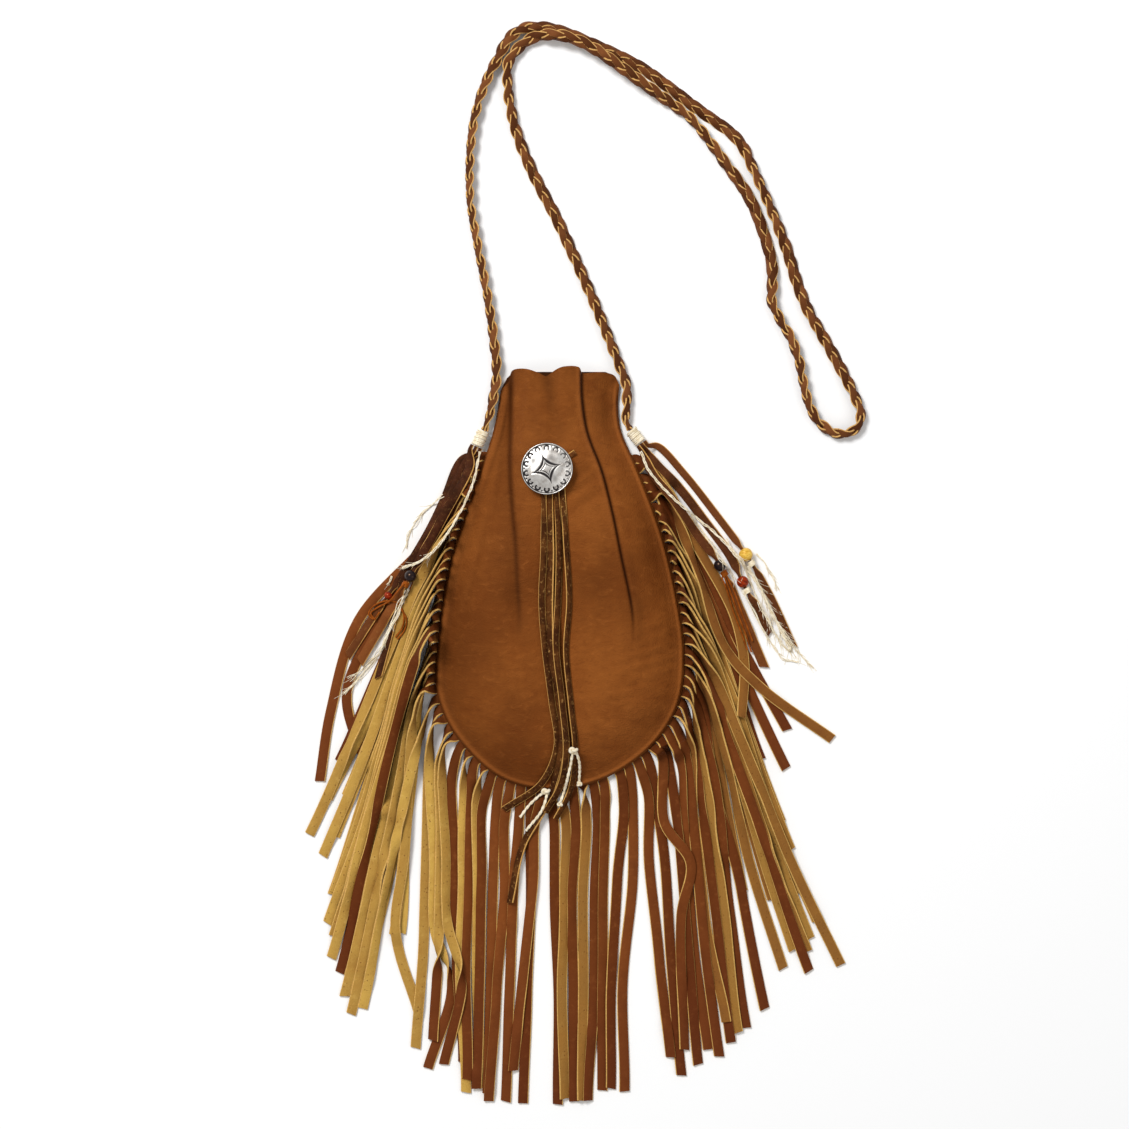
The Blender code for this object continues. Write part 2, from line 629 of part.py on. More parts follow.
def strip_sections(root, outward, tip, by_way, hand):
    """Sections of one strip, from just past its root to its tip."""
    route = strip_route(root, outward, tip[:2], by_way)
    length = lengths_along(route)[-1]
    along = np.linspace(0, length, math.ceil(length / 0.0015))
    route = at_lengths(route, along)
    width = np.full(len(along), STRIP_WIDTH)
    roll, height, side = lie(route, hand, width, strip_roll(along, tip[2]), BAND_LEATHER, most=PILE)
    start = smooth_step(along / 0.008)
    height = height * start + (BAND_LOW + BAND_LEATHER / 2) * (1 - start)
    stations = np.array(STRIP_STATIONS[1:]) * length
    corners = []
    for s in stations:
        i = int(np.argmin(np.abs(along - s)))
        centre = np.array((route[i, 0], route[i, 1], height[i]))
        corners.append(section_corners(centre, side[i], STRIP_WIDTH, roll[i], BAND_LEATHER))
    return corners


def make_fringe(name, run, tips, by_way, on_top, hand, from_end):
    """A band with its strips: the band first, then each strip laid on those before it."""
    start, end = (seam_length_at(*p) for p in run)
    count = max(2, int(round((end - start) / (STRIP_WIDTH + CUT))))
    pitch = (end - start) / count
    wide = min(STRIP_WIDTH, pitch - CUT / 2)
    body = bmesh.new()
    sides = ((pitch - wide) / 2, (pitch + wide) / 2)
    stations = [start + pitch * k + shift for k in range(count) for shift in sides]
    rings = []
    for length in stations:
        point, outward = on_seam(length)
        inner = point - outward * BAND_DEPTH
        outer = point + outward * BAND_PROUD
        rings.append([body.verts.new((*p, z)) for p, z in (
            (inner, BAND_LOW), (inner, BAND_HIGH), (outer, BAND_HIGH), (outer, BAND_LOW))])
    body.faces.new(rings[0])
    body.faces.new(rings[-1][::-1])
    for i, (a, b) in enumerate(zip(rings, rings[1:])):
        for j in range(4):
            if j == 2 and i % 2 == 0:
                continue
            body.faces.new((a[j], b[j], b[(j + 1) % 4], a[(j + 1) % 4]))
    places = np.linspace(0, len(tips) - 1, count)
    order = sorted(range(count), reverse=from_end)
    last = [k for k in order if int(round(places[k])) in on_top]
    for k in [k for k in order if k not in last] + last:
        tip_index = int(round(places[k]))
        point, outward = on_seam(start + pitch * (k + 0.5))
        root = point + outward * BAND_PROUD
        sections = strip_sections(root, outward, tips[tip_index], by_way.get(tip_index), hand)
        first, second = rings[2 * k], rings[2 * k + 1]
        near, far = (first, second) if hand > 0 else (second, first)
        ring = [near[3], far[3], far[2], near[2]]
        placed = lift_clear(sections, GIVE)
        sweep(body, placed, ring)
        root_section = np.array([v.co for v in ring])
        cover_sections([root_section, *placed])
    finish(name, body, SUEDE_GOLD, 0.9)
    HEIGHTS.settle()


# Thongs, beads and threads

def make_thong(name, route, width, roll, colour, bead=None, start_height=None, count=12):
    """A leather thong that lies on what is under it; it is drawn in where a bead sits on it.

    A bead is its place, its diameter and the length of the wrap under it. Given one, the
    straight run of the thong through it comes back as its two ends.
    """
    fine = smooth_route(route, 0.0015)
    along = lengths_along(fine)
    widths = np.full(len(along), width)
    if start_height:
        widths = THONG_IN_BINDING + (width - THONG_IN_BINDING) * smooth_step(along / 0.010)
    least = 0.0
    stations = list(np.linspace(0, along[-1], count))
    if bead:
        place, diameter, wrap = bead
        middle = along[np.argmin(np.linalg.norm(fine - np.array(place), axis=1))]
        start, end = middle - diameter * 0.6, middle + diameter * 0.6 + wrap
        away = np.maximum(start - along, along - end)
        widths = np.minimum(widths, THONG_IN_BEAD + (width - THONG_IN_BEAD) * smooth_step(away / 0.006))
        least = rest_round(place, diameter / 2) * (1 - smooth_step(away / 0.012))
        stations = [s for s in stations if not start - 0.003 < s < end + 0.003]
        stations = sorted([*stations, start, end])
    rolls, height, side = lie(fine, 1, widths, np.full(len(along), roll), THONG_LEATHER, least)
    corners = []
    for s in stations:
        i = int(np.argmin(np.abs(along - s)))
        point = np.array((fine[i, 0], fine[i, 1], height[i]))
        if start_height and s == 0:
            point[2] = max(point[2], start_height)
        level = bool(bead) and s in (start, end)
        corners.append(section_corners(point, side[i], widths[i], 0.0 if level else rolls[i], THONG_LEATHER))
    placed = lift_clear(corners)
    body = bmesh.new()
    sweep(body, placed)
    finish(name, body, colour, 0.75)
    cover_sections(placed)
    HEIGHTS.settle()
    if bead:
        i = stations.index(start)
        return placed[i].mean(axis=0), placed[i + 1].mean(axis=0)
    return None


def rest_round(place, radius):
    """Height of the middle of a ball that rests on what is under it."""
    angles = np.linspace(0, 2 * math.pi, 16, endpoint=False)
    highest = -1.0
    for share in (0.0, 0.4, 0.7, 0.95):
        x = place[0] + radius * share * np.cos(angles)
        y = place[1] + radius * share * np.sin(angles)
        under = HEIGHTS.under(x, y) + CLEARANCE + radius * math.sqrt(1 - share ** 2)
        highest = max(highest, under.max())
    return highest


def bore_radius():
    return math.hypot(THONG_IN_BEAD, THONG_LEATHER) / 2 + CLEARANCE


def make_bead(name, centre, axis, diameter, colour):
    """A round bead with flattened ends, turned about its bore."""
    radius, bore = diameter / 2, bore_radius()
    half = math.sqrt(radius ** 2 - (bore + BEAD_LIP) ** 2)
    heights = np.linspace(-half, half, 5)
    profile = [(math.sqrt(radius ** 2 - h ** 2), h) for h in heights]
    profile += [(bore, half), (bore, -half)]
    place_ring(name, turned(profile, 12), centre, axis, colour, 0.25)
    cover_ball(centre, radius)


def make_wrap(name, centre, axis, length, colour):
    """A few turns of lace or thread round a thong, as one ring."""
    bore = bore_radius()
    radius = bore + SINEW
    profile = [(bore, -length / 2), (radius - 0.0003, -length / 2), (radius, -length / 4)]
    profile += [(radius, length / 4), (radius - 0.0003, length / 2), (bore, length / 2)]
    place_ring(name, turned(profile, 12), centre, axis, colour, 0.7)
    cover_ball(centre, radius)


def place_ring(name, body, centre, axis, colour, roughness):
    turn = Vector(axis).to_track_quat("Z", "Y").to_matrix().to_4x4()
    bmesh.ops.transform(body, matrix=Matrix.Translation(Vector(centre)) @ turn, verts=body.verts)
    finish(name, body, colour, roughness)


def cover_ball(centre, radius):
    angles = np.linspace(0, 2 * math.pi, 80)
    for share in np.linspace(0, 1, 24):
        x = centre[0] + radius * share * np.cos(angles)
        y = centre[1] + radius * share * np.sin(angles)
        HEIGHTS.cover(x, y, np.full(80, centre[2] + radius * math.sqrt(1 - share ** 2)))
    HEIGHTS.settle()


def turned(profile, sides):
    """A closed ring profile of (radius, height) points, turned about Z."""
    body = bmesh.new()
    rings = []
    for k in range(sides):
        angle = 2 * math.pi * k / sides
        rings.append([body.verts.new((r * math.cos(angle), r * math.sin(angle), z)) for r, z in profile])
    for k in range(sides):
        a, b = rings[k], rings[(k + 1) % sides]
        for i in range(len(profile)):
            j = (i + 1) % len(profile)
            body.faces.new((a[i], b[i], b[j], a[j]))
    return body


def tube_rings(body, points, radii, sides):
    """A closed tube round a course of points, with a radius for each."""
    points = np.array(points)
    ahead = np.gradient(points, axis=0)
    rings = []
    for point, direction, radius in zip(points, ahead, radii):
        direction = direction / np.linalg.norm(direction)
        side = np.cross(direction, (0, 0, 1.0))
        side = side / np.linalg.norm(side)
        up = np.cross(side, direction)
        ring = []
        for k in range(sides):
            angle = 2 * math.pi * k / sides
            ring.append(body.verts.new(point + radius * (side * math.cos(angle) + up * math.sin(angle))))
        rings.append(ring)
    body.faces.new(rings[0])
    body.faces.new(rings[-1][::-1])
    for a, b in zip(rings, rings[1:]):
        for k in range(sides):
            j = (k + 1) % sides
            body.faces.new((a[k], b[k], b[j], a[j]))


def rest_thread(route, radii, step):
    """A course that rests on what is under it, for a thread of the given radii."""
    fine = smooth_route(route, step)
    if len(radii) != len(fine):
        radii = np.interp(np.linspace(0, 1, len(fine)), np.linspace(0, 1, len(radii)), radii)
    side = sideways(headings(fine), 1)
    heights = []
    for shift in (-1.0, -0.5, 0.0, 0.5, 1.0):
        x = fine[:, 0] + side[:, 0] * radii * shift
        y = fine[:, 1] + side[:, 1] * radii * shift
        heights.append(HEIGHTS.under(x, y) + CLEARANCE + radii)
    height = widened(np.max(heights, axis=0), 1)
    return np.column_stack((fine, blurred(height, 1))), radii


def make_tie(name, route, knot_place):
    """Thread knotted round a thong, with its two tails."""
    step = 0.0022
    fine = smooth_route([spot(*p) for p in route], step)
    away = np.linalg.norm(fine - np.array(spot(*knot_place)), axis=1)
    radii = SINEW / 2 + (KNOT - SINEW) / 2 * (1 - smooth_step(away / KNOT)) ** 0.5
    course, radii = rest_thread([spot(*p) for p in route], radii, step)
    body = bmesh.new()
    tube_rings(body, course, radii, 7)
    finish(name, body, SINEW_CREAM, 0.7)


def make_thread(name, route, diameter, colour, sides=5):
    """A loose thread or lace that lies on what is under it."""
    course, radii = rest_thread([spot(*p) for p in route], [diameter / 2, diameter / 2], THREAD_STEP)
    body = bmesh.new()
    tube_rings(body, course, radii, sides)
    finish(name, body, colour, 0.7)


def make_binding(name, ends):
    """Turns of thread wound round the strap's end and the tassel's thongs."""
    a, b = (np.array((*spot(*p), binding_height())) for p in ends)
    length = np.linalg.norm(b - a)
    turns = 6
    profile = [(0.0, 0.0)]
    for k in range(turns * 2 + 1):
        proud = BINDING_TURN if k % 2 else 0.0
        profile.append((BINDING_RADIUS - BINDING_TURN + proud, length * k / (turns * 2)))
    profile.append((0.0, length))
    body = bmesh.new()
    sides = 12
    rings = []
    for r, z in profile[1:-1]:
        rings.append([
            body.verts.new((r * math.cos(2 * math.pi * k / sides), r * math.sin(2 * math.pi * k / sides), z))
            for k in range(sides)
        ])
    body.faces.new(rings[0])
    body.faces.new(rings[-1][::-1])
    for low, high in zip(rings, rings[1:]):
        for k in range(sides):
            j = (k + 1) % sides
            body.faces.new((low[k], low[j], high[j], high[k]))
    turn = Vector(b - a).to_track_quat("Z", "Y").to_matrix().to_4x4()
    bmesh.ops.transform(body, matrix=Matrix.Translation(Vector(a)) @ turn, verts=body.verts)
    finish(name, body, SINEW_CREAM, 0.7)


def binding_height():
    return BINDING_RADIUS + FLOOR_GAP


def make_strap():
    """The braided strap's plain round solid."""
    floor = STRAP_DIAMETER / 2 + FLOOR_GAP
    ends = []
    for inner, outer in (LEFT_BINDING, RIGHT_BINDING):
        a, b = (np.array((*spot(*p), binding_height())) for p in (inner, outer))
        out = (a - b) / np.linalg.norm(a - b)
        ends.append((a + out * CLEARANCE, a + out * (CLEARANCE + STRAP_DIAMETER * 0.6)))
    middle = [(*spot(x, y), floor + z) for x, y, z in STRAP_ROUTE]
    route = smooth_route([ends[0][1], *middle, ends[1][1]], STRAP_STEP)
    route[:, 2] = np.maximum(route[:, 2], floor)
    route = np.vstack((ends[0][0], route, ends[1][0]))
    curve = bpy.data.curves.new("strap", "CURVE")
    curve.dimensions = "3D"
    curve.bevel_depth = STRAP_DIAMETER / 2
    curve.bevel_resolution = 2
    curve.use_fill_caps = True
    spline = curve.splines.new("POLY")
    spline.points.add(len(route) - 1)
    for point, place in zip(spline.points, route):
        point.co = (*place, 1.0)
    strap = bpy.data.objects.new("strap", curve)
    bpy.context.scene.collection.objects.link(strap)
    paint(strap, GRAIN_BROWN, LEATHER_ROUGHNESS)


def make_concho():
    """A domed silver disc, hollow behind, with a raised rim."""
    radius = CONCHO_DIAMETER / 2
    place = np.array(spot(*CONCHO_PLACE))
    outer = [(radius, 0.0), (radius, 0.0008), (radius * 0.93, 0.0013), (radius * 0.87, 0.0010)]
    for r in (0.7, 0.5, 0.3, 0.12):
        outer.append((radius * r, 0.0010 + (CONCHO_HEIGHT - 0.0010) * math.cos(r * 1.75) ** 1.2))
    inner = [(r, max(z - CONCHO_METAL, 0.0)) for r, z in outer[:0:-1]]
    hollow = np.array(inner)
    angles = np.linspace(0, 2 * math.pi, 48, endpoint=False)
    base = -1.0
    for share in np.linspace(0.05, 1.0, 14):
        x = place[0] + radius * share * np.cos(angles)
        y = place[1] + radius * share * np.sin(angles)
        room = np.interp(radius * share, hollow[:, 0], hollow[:, 1])
        base = max(base, (HEIGHTS.under(x, y) + CLEARANCE - room).max())
    body = bmesh.new()
    sides = 24
    rings = []
    for r, z in [*outer, *inner]:
        rings.append([
            body.verts.new((place[0] + r * math.cos(2 * math.pi * k / sides),
                            place[1] + r * math.sin(2 * math.pi * k / sides), base + z))
            for k in range(sides)
        ])
    top = body.verts.new((*place, base + CONCHO_HEIGHT))
    back = body.verts.new((*place, base + CONCHO_HEIGHT - CONCHO_METAL))
    last, first = rings[len(outer) - 1], rings[len(outer)]
    for k in range(sides):
        j = (k + 1) % sides
        body.faces.new((last[k], last[j], top))
        body.faces.new((first[k], first[j], back))
    for i in range(len(outer) - 1):
        join(body, rings[i], rings[i + 1])
    for i in range(len(outer), len(rings) - 1):
        join(body, rings[i], rings[i + 1])
    join(body, rings[-1], rings[0])
    finish("concho", body, (0.60, 0.58, 0.55), 0.3, 1.0)


def join(body, low, high):
    for k in range(len(low)):
        j = (k + 1) % len(low)
        body.faces.new((low[k], low[j], high[j], high[k]))


def make_tassel(side, binding, thongs):
    """The thongs of one tassel, from its binding, with their beads and wraps."""
    a, b = (np.array(spot(*p)) for p in binding)
    out = (b - a) / np.linalg.norm(b - a)
    across = np.array((-out[1], out[0]))
    for k, (route, beads) in enumerate(thongs):
        start = b + out * CLEARANCE + across * (1 - k) * (THONG_IN_BINDING + CLEARANCE)
        points = [start, start + out * 0.003, *[spot(*p) for p in route]]
        name = f"{side}_thong_{k + 1}"
        bead = None
        if beads:
            place, bead_name, diameter, colour, wrap_name, wrap_colour = beads
            wrap = WRAP_LENGTH + CLEARANCE if wrap_name else 0.0
            bead = (spot(*place), diameter, wrap)
        run = make_thong(name, points, TASSEL_THONG_WIDTH, 0.0, DARK_BROWN, bead, binding_height())
        if beads:
            axis = (run[1] - run[0]) / np.linalg.norm(run[1] - run[0])
            make_bead(bead_name, run[0] + axis * diameter * 0.6, axis, diameter, colour)
            if wrap_name:
                centre = run[0] + axis * (diameter * 1.1 + CLEARANCE + WRAP_LENGTH / 2)
                make_wrap(wrap_name, centre, axis, WRAP_LENGTH, wrap_colour)


def build():
    for obj in list(bpy.data.objects):
        bpy.data.objects.remove(obj)
    make_back_panel()
    make_fringe("fringe_band_left", LEFT_RUN, LEFT_TIPS, LEFT_BY_WAY, LEFT_ON_TOP, 1, False)
    make_fringe("fringe_band_right", RIGHT_RUN, RIGHT_TIPS, RIGHT_BY_WAY, RIGHT_ON_TOP, -1, True)
    make_front_panel()
    make_strap()
    make_binding("left_binding", LEFT_BINDING)
    make_binding("right_binding", RIGHT_BINDING)
    for k, route in enumerate(CONCHO_THONGS):
        make_thong(f"concho_thong_{k + 1}", [spot(*p) for p in route], CONCHO_THONG_WIDTH, 0.0, DARK_BROWN)
    stub = [spot(*p) for p in STUB_ROUTE]
    make_thong("concho_stub", stub, CONCHO_THONG_WIDTH * 0.7, 0.0, DARK_BROWN, count=4)
    make_concho()
    for name, route in TIES.items():
        make_tie(name, route, TIE_KNOTS[name])
    make_tassel("left", LEFT_BINDING, LEFT_TASSEL)
    make_tassel("right", RIGHT_BINDING, RIGHT_TASSEL)
    make_thread("left_lace", LEFT_LACE, LACE, LACE_ORANGE)
    for name, route in SINEWS.items():
        make_thread(name, route, SINEW, SINEW_CREAM)


build()
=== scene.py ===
import math

import bpy
import numpy as np
from mathutils import Matrix, Vector


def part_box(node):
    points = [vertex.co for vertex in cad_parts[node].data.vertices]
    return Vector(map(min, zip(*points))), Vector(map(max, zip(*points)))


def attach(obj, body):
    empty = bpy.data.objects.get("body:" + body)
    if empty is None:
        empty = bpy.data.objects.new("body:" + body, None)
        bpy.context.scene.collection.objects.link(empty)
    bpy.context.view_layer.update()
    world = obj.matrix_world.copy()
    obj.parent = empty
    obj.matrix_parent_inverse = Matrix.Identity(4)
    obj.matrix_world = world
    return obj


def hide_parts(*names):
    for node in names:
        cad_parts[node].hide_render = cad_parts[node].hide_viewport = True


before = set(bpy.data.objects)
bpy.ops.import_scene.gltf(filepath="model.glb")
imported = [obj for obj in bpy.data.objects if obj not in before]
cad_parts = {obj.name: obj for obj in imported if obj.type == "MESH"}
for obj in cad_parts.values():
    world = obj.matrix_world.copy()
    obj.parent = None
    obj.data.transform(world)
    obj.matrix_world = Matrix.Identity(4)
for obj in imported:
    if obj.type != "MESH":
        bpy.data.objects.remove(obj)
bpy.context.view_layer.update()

# Pouch, in metres
POUCH_WIDTH = 0.1404
POUCH_HEIGHT = 0.2377
POUCH_DEPTH = 0.0125
SHOULDER = 0.034
LEATHER = 0.0012
SEAM_ALLOWANCE = 0.0065
CLEARANCE = 0.0003
PLEAT_STEP = 0.0030
MOUTH_DIP = 0.0035
DIP_WIDTH = 0.006
SOFT_FOLD = 0.0042        # how far the left fold takes to rise
SHARP_FOLD = 0.0011       # and the right one
GATHER_DEPTH = 0.00035

# Fringe
STRIP_LEATHER = 0.0012
STRIP_WIDTH = 0.0055
STRIP_SPREAD = 0.0003    # a strip's leather spreads a little once it is free of the seam
STRIP_LENGTH = 0.176
CUT = 0.0004
BAND_PROUD = 0.0004
TURN_REACH = 0.0125

# Strap: a flat braid of three strands
STRAP_DIAMETER = 0.0072
BRAID_WIDTH = 0.0076
STRAND_WIDTH = 0.0040
STRAND_THICK = 0.00105
BRAID_PERIOD = 0.0290
BEVEL = 0.0004
BINDING_RADIUS = 0.0040

# Small pieces
CONCHO_DIAMETER = 0.0290
CONCHO_HEIGHT = 0.0030
THONG_LEATHER = 0.0013
CONCHO_THONG_WIDTH = 0.0040
TASSEL_THONG_WIDTH = 0.0058
THONG_IN_BEAD = 0.0020
THONG_IN_BINDING = 0.0021
BIG_BEAD = 0.0068
SMALL_BEAD = 0.0048
YELLOW_BEAD = 0.0078
SINEW = 0.0014
WRAP_LENGTH = 0.0036

# The drawing's scale, in the photograph's pixels
DRAWN_WIDTH = 248
DRAWN_HEIGHT = 420
DRAWN_ORIGIN = (560, 600)
DRAWN_STRIP = 311

SEAM = (
    (501, 390), (494, 428), (474, 491), (450, 564), (439, 635), (437, 692), (455, 734),
    (500, 777), (548, 789), (600, 780), (650, 747), (678, 704), (684, 652), (677, 598),
    (662, 535), (639, 473), (621, 431), (618, 409), (619, 385),
)
MOUTH = (
    (501, 390), (509, 381), (512, 372), (524, 370), (538, 374), (546, 378), (561, 369),
    (579, 369), (582, 374), (600, 373), (614, 376), (619, 385),
)
BACK_MOUTH = ((501, 390), (507, 378), (514, 372), (606, 372), (614, 377), (619, 385))
FOLD_HEIGHTS = (0.0, 0.3, 0.51, 0.65, 0.83, 1.0)
LEFT_FOLD = (0.33, 0.33, 0.332, 0.297, 0.188, 0.09)
RIGHT_FOLD = (0.67, 0.74, 0.80, 0.775, 0.766, 0.67)
FOLD_START = 0.50
SEAM_BOTTOM = (548, 789)
# Dimples where the two folds run out: place, depth and width
DIMPLES = ((520, 606, 0.0010, 0.010), (640, 622, 0.0014, 0.009))
# Long shallow wrinkles: place, direction in degrees, length and depth
WRINKLES = (
    (580, 474, -34, 0.010, 0.0007), (584, 484, -36, 0.012, 0.0007), (590, 498, -32, 0.012, 0.0006),
    (655, 640, -20, 0.016, 0.0006), (648, 655, -18, 0.018, 0.0007), (645, 668, -16, 0.018, 0.0007),
    (636, 681, -14, 0.016, 0.0006), (660, 628, -24, 0.014, 0.0005), (630, 694, -14, 0.014, 0.0005),
    (612, 410, -48, 0.008, 0.0005), (478, 560, 104, 0.032, 0.0004), (500, 470, 98, 0.036, 0.0004),
)
WRINKLE_WIDTH = 0.0016
CREASE = ((547, 378), (552, 409), (558, 430))

LEFT_RUN = ((486, 452), (608, 778))
RIGHT_RUN = ((614, 775), (633, 455))
FLESH = 180
GRAIN = 0
TURNED = 360
LEFT_TIPS = (
    (366, 742, GRAIN), (350, 752, GRAIN), (371, 775, GRAIN), (340, 762, GRAIN), (320, 781, GRAIN),
    (345, 795, FLESH), (330, 800, FLESH), (307, 833, FLESH), (338, 838, FLESH), (324, 856, FLESH),
    (362, 868, FLESH), (329, 893, FLESH), (336, 893, FLESH), (330, 924, FLESH), (356, 915, FLESH),
    (335, 936, FLESH), (332, 958, FLESH), (338, 972, GRAIN), (370, 960, FLESH), (345, 996, FLESH),
    (352, 1014, FLESH), (398, 932, FLESH), (394, 934, FLESH), (418, 1010, FLESH), (362, 1008, FLESH),
    (420, 1048, FLESH), (428, 1068, TURNED), (436, 1040, TURNED), (444, 1064, TURNED), (459, 1062, GRAIN),
    (465, 1092, FLESH), (465, 1079, GRAIN), (481, 1088, FLESH), (475, 1088, GRAIN), (485, 1093, GRAIN),
    (493, 1101, GRAIN), (504, 1101, GRAIN), (524, 1103, GRAIN), (513, 1070, GRAIN), (556, 1104, GRAIN),
    (566, 1098, FLESH), (573, 1101, GRAIN), (583, 1100, FLESH), (592, 1100, GRAIN), (602, 1090, GRAIN),
)
RIGHT_TIPS = (
    (611, 1088, GRAIN), (621, 1091, GRAIN), (668, 1057, GRAIN), (681, 1075, GRAIN), (684, 1049, GRAIN),
    (700, 1064, GRAIN), (709, 1049, GRAIN), (720, 1056, GRAIN), (721, 1022, FLESH), (732, 1042, GRAIN),
    (739, 1032, FLESH), (749, 1027, GRAIN), (759, 1010, GRAIN), (784, 968, FLESH), (809, 971, GRAIN),
    (840, 965, FLESH), (808, 951, FLESH), (811, 938, FLESH), (792, 950, FLESH), (815, 921, FLESH),
    (792, 896, FLESH), (770, 900, FLESH), (742, 892, FLESH), (736, 870, GRAIN), (776, 872, FLESH),
    (790, 850, FLESH), (762, 845, FLESH), (782, 822, FLESH), (740, 800, GRAIN), (832, 739, FLESH),
    (765, 757, GRAIN), (787, 768, GRAIN), (740, 716, FLESH), (785, 731, GRAIN),
)
LEFT_BY_WAY = {2: ((412, 570), (380, 620), (347, 695)), 4: ((430, 540), (359, 620), (331, 711)),
               23: ((404, 860), (396, 933)), 26: ((434, 860), (435, 930), (452, 985)),
               28: ((446, 860), (447, 920), (462, 980))}
RIGHT_BY_WAY = {4: ((664, 822), (690, 862), (681, 915)), 29: ((699, 580), (724, 647), (760, 687)),
                32: ((690, 535), (733, 613), (744, 665))}
LEFT_ON_TOP = (4, 28)
RIGHT_ON_TOP = (4, 29, 32)

STRAP_ROUTE = (
    (490, 411, 0), (493.5, 392, 0), (496, 375, 0), (493.5, 345, 0), (487.5, 300, 0), (478, 250, 0),
    (470, 200, 0), (470, 150, 0), (474, 119, 0), (483, 88, 0), (497, 59, 0), (510, 37, 0),
    (525, 28, 0), (541, 27, 0), (560, 31, 0), (588, 42, 0), (640, 67, 0), (667, 86, 0),
    (703, 113, 0), (732, 134, 0), (743, 147, 0), (752, 166, 0), (771.5, 210, 0), (787, 250, 0),
    (796, 280, 0), (807, 308, 0), (821, 333, 0), (850, 386, 0), (859, 407, 0), (861, 415, 0),
    (855, 430, 0), (838, 435, 0), (822, 427, 0), (810, 411, 0), (803, 388, 0), (798, 363, 0),
    (789, 338, 0), (778, 319, 0), (770, 301, 0), (771, 285, 0), (771, 264, 0), (767, 246, 0),
    (754, 209, 0), (741, 186, 0), (727, 168, 0), (705, 138, 0), (690, 120, 0), (674, 107.5, 0),
    (645, 88, 0.0056), (583, 46, 0.0066), (555, 38, 0.0057), (532, 40, 0.0005), (510, 62, 0),
    (509, 90, 0), (511.5, 109, 0), (519, 138, 0), (535.7, 178, 0), (556, 217, 0), (592, 296, 0),
    (617, 358, 0), (627, 386, 0),
)
# How far the braid is rolled about its own length, in degrees, at points that it passes in turn
STRAP_ROLLS = (
    (488, 425, 60), (490, 411, 55), (495, 385, 50), (493, 350, 50), (487, 310, 60), (478, 250, 68),
    (470, 200, 76),
    (470, 160, 64), (473, 115, 64), (486, 80, 52), (500, 53, 34), (525, 28, 24), (560, 31, 6),
    (640, 67, 2), (735, 137, 2), (745, 152, 20), (755, 172, 45), (772, 215, 42), (786, 250, 8),
    (800, 290, 5), (815, 320, 30), (836, 358, 6), (855, 395, 40), (861, 420, 54), (850, 433, 66),
    (825, 430, 48), (808, 405, 62), (803, 385, 70), (797, 358, 54), (771, 305, 60), (771, 288, 42),
    (770, 258, 8), (748, 197, 8), (725, 165, 35), (705, 138, 54), (690, 120, 62), (672, 106, 40),
    (645, 88, 25), (583, 46, 25), (532, 40, 32), (510, 62, 48), (509, 90, 50), (513, 120, 38),
    (530, 165, 16), (556, 217, 8), (578, 266, 25), (600, 313, 34), (617, 358, 42), (628, 412, 54),
)
LEFT_BINDING = ((484, 431), (477, 446.5))
RIGHT_BINDING = ((630.5, 430), (640.5, 443.5))

CONCHO_PLACE = (547, 470)
CONCHO_TURN = -18           # of its star, in degrees
STUB_ROUTE = ((556, 464), (566, 459), (575, 453))
STUB_SHARE = 0.7            # of the other thongs' width
CONCHO_THONGS = (
    ((544, 480), (544, 550), (542, 600), (545, 645), (552, 700), (557, 745), (541, 783), (504, 809)),
    ((550, 480), (551, 550), (550, 612), (552, 660), (560, 700), (561, 750), (548, 800), (523, 845),
     (510, 902)),
    ((556, 480), (559, 546), (558, 600), (556, 645), (562, 700), (566, 750), (560, 785), (545, 812)),
    ((562, 480), (566, 545), (569, 600), (566, 650), (571, 705), (575, 750), (570, 790), (556, 818)),
)
CONCHO_THONG_ROLLS = (24, -28, 34, 46)    # how far each is turned on its edge, in degrees
TIES = {
    "concho_tie_right": ((560, 803), (566, 783), (570, 765), (574, 748), (579, 760), (579, 783)),
    "concho_tie_left": ((520, 817), (531, 803), (546.5, 791), (542, 809), (526, 830)),
}
TIE_KNOTS = {"concho_tie_right": ((574, 748), (560, 803), (579, 784)), "concho_tie_left": ((546.5, 791),)}

LEFT_TASSEL = (
    (((462, 460), (444, 500), (427, 535), (404, 573), (389, 595), (380, 607), (348, 656)),
     ((389, 595), "left_red_bead", SMALL_BEAD, "red", None, None)),
    (((466, 462), (443, 512), (420, 548), (403, 582), (396, 612), (379, 677)), None),
    (((470, 468), (447, 511), (432, 539), (412.5, 574.5), (393, 606), (360, 662)),
     ((412.5, 574.5), "left_dark_bead", BIG_BEAD, "dark", "left_lace_wrap", "lace")),
)
RIGHT_TASSEL = (
    (((657, 446), (684, 474), (714, 512), (745, 554), (768, 592), (793, 646)),
     ((745, 554), "right_yellow_bead", YELLOW_BEAD, "yellow", "right_yellow_bead_wrap", "sinew")),
    (((653, 461), (680, 489), (703, 519), (730, 556), (742, 582), (770, 633)),
     ((742, 582), "right_red_bead", BIG_BEAD, "red", "right_sinew_wrap", "sinew")),
    (((650, 470), (676, 505), (697, 535), (719, 564), (740, 610), (764, 667)),
     ((719, 564), "right_dark_bead", BIG_BEAD, "dark", "right_lace_wrap", "lace")),
)
# Laces that hang from the wraps, the first of the left ones with the CAD's course
LEFT_LACES = (
    ((380, 612), (374, 619), (369, 614), (374, 606), (386, 601), (398, 603), (404, 613), (403, 627),
     (396, 637)),
    ((405, 583.5), (398, 592), (390, 601), (377, 608), (371, 613), (376, 620)),
    ((400, 606), (407, 619), (405, 630), (398, 639)),
)
RIGHT_LACES = (
    ((724, 577), (730, 592), (737, 613), (745, 634), (751, 652)),
    ((721, 577), (727, 592), (733, 612), (741, 633), (747, 650)),
    ((726, 576), (734, 592), (741, 612), (748, 630), (752, 641)),
)
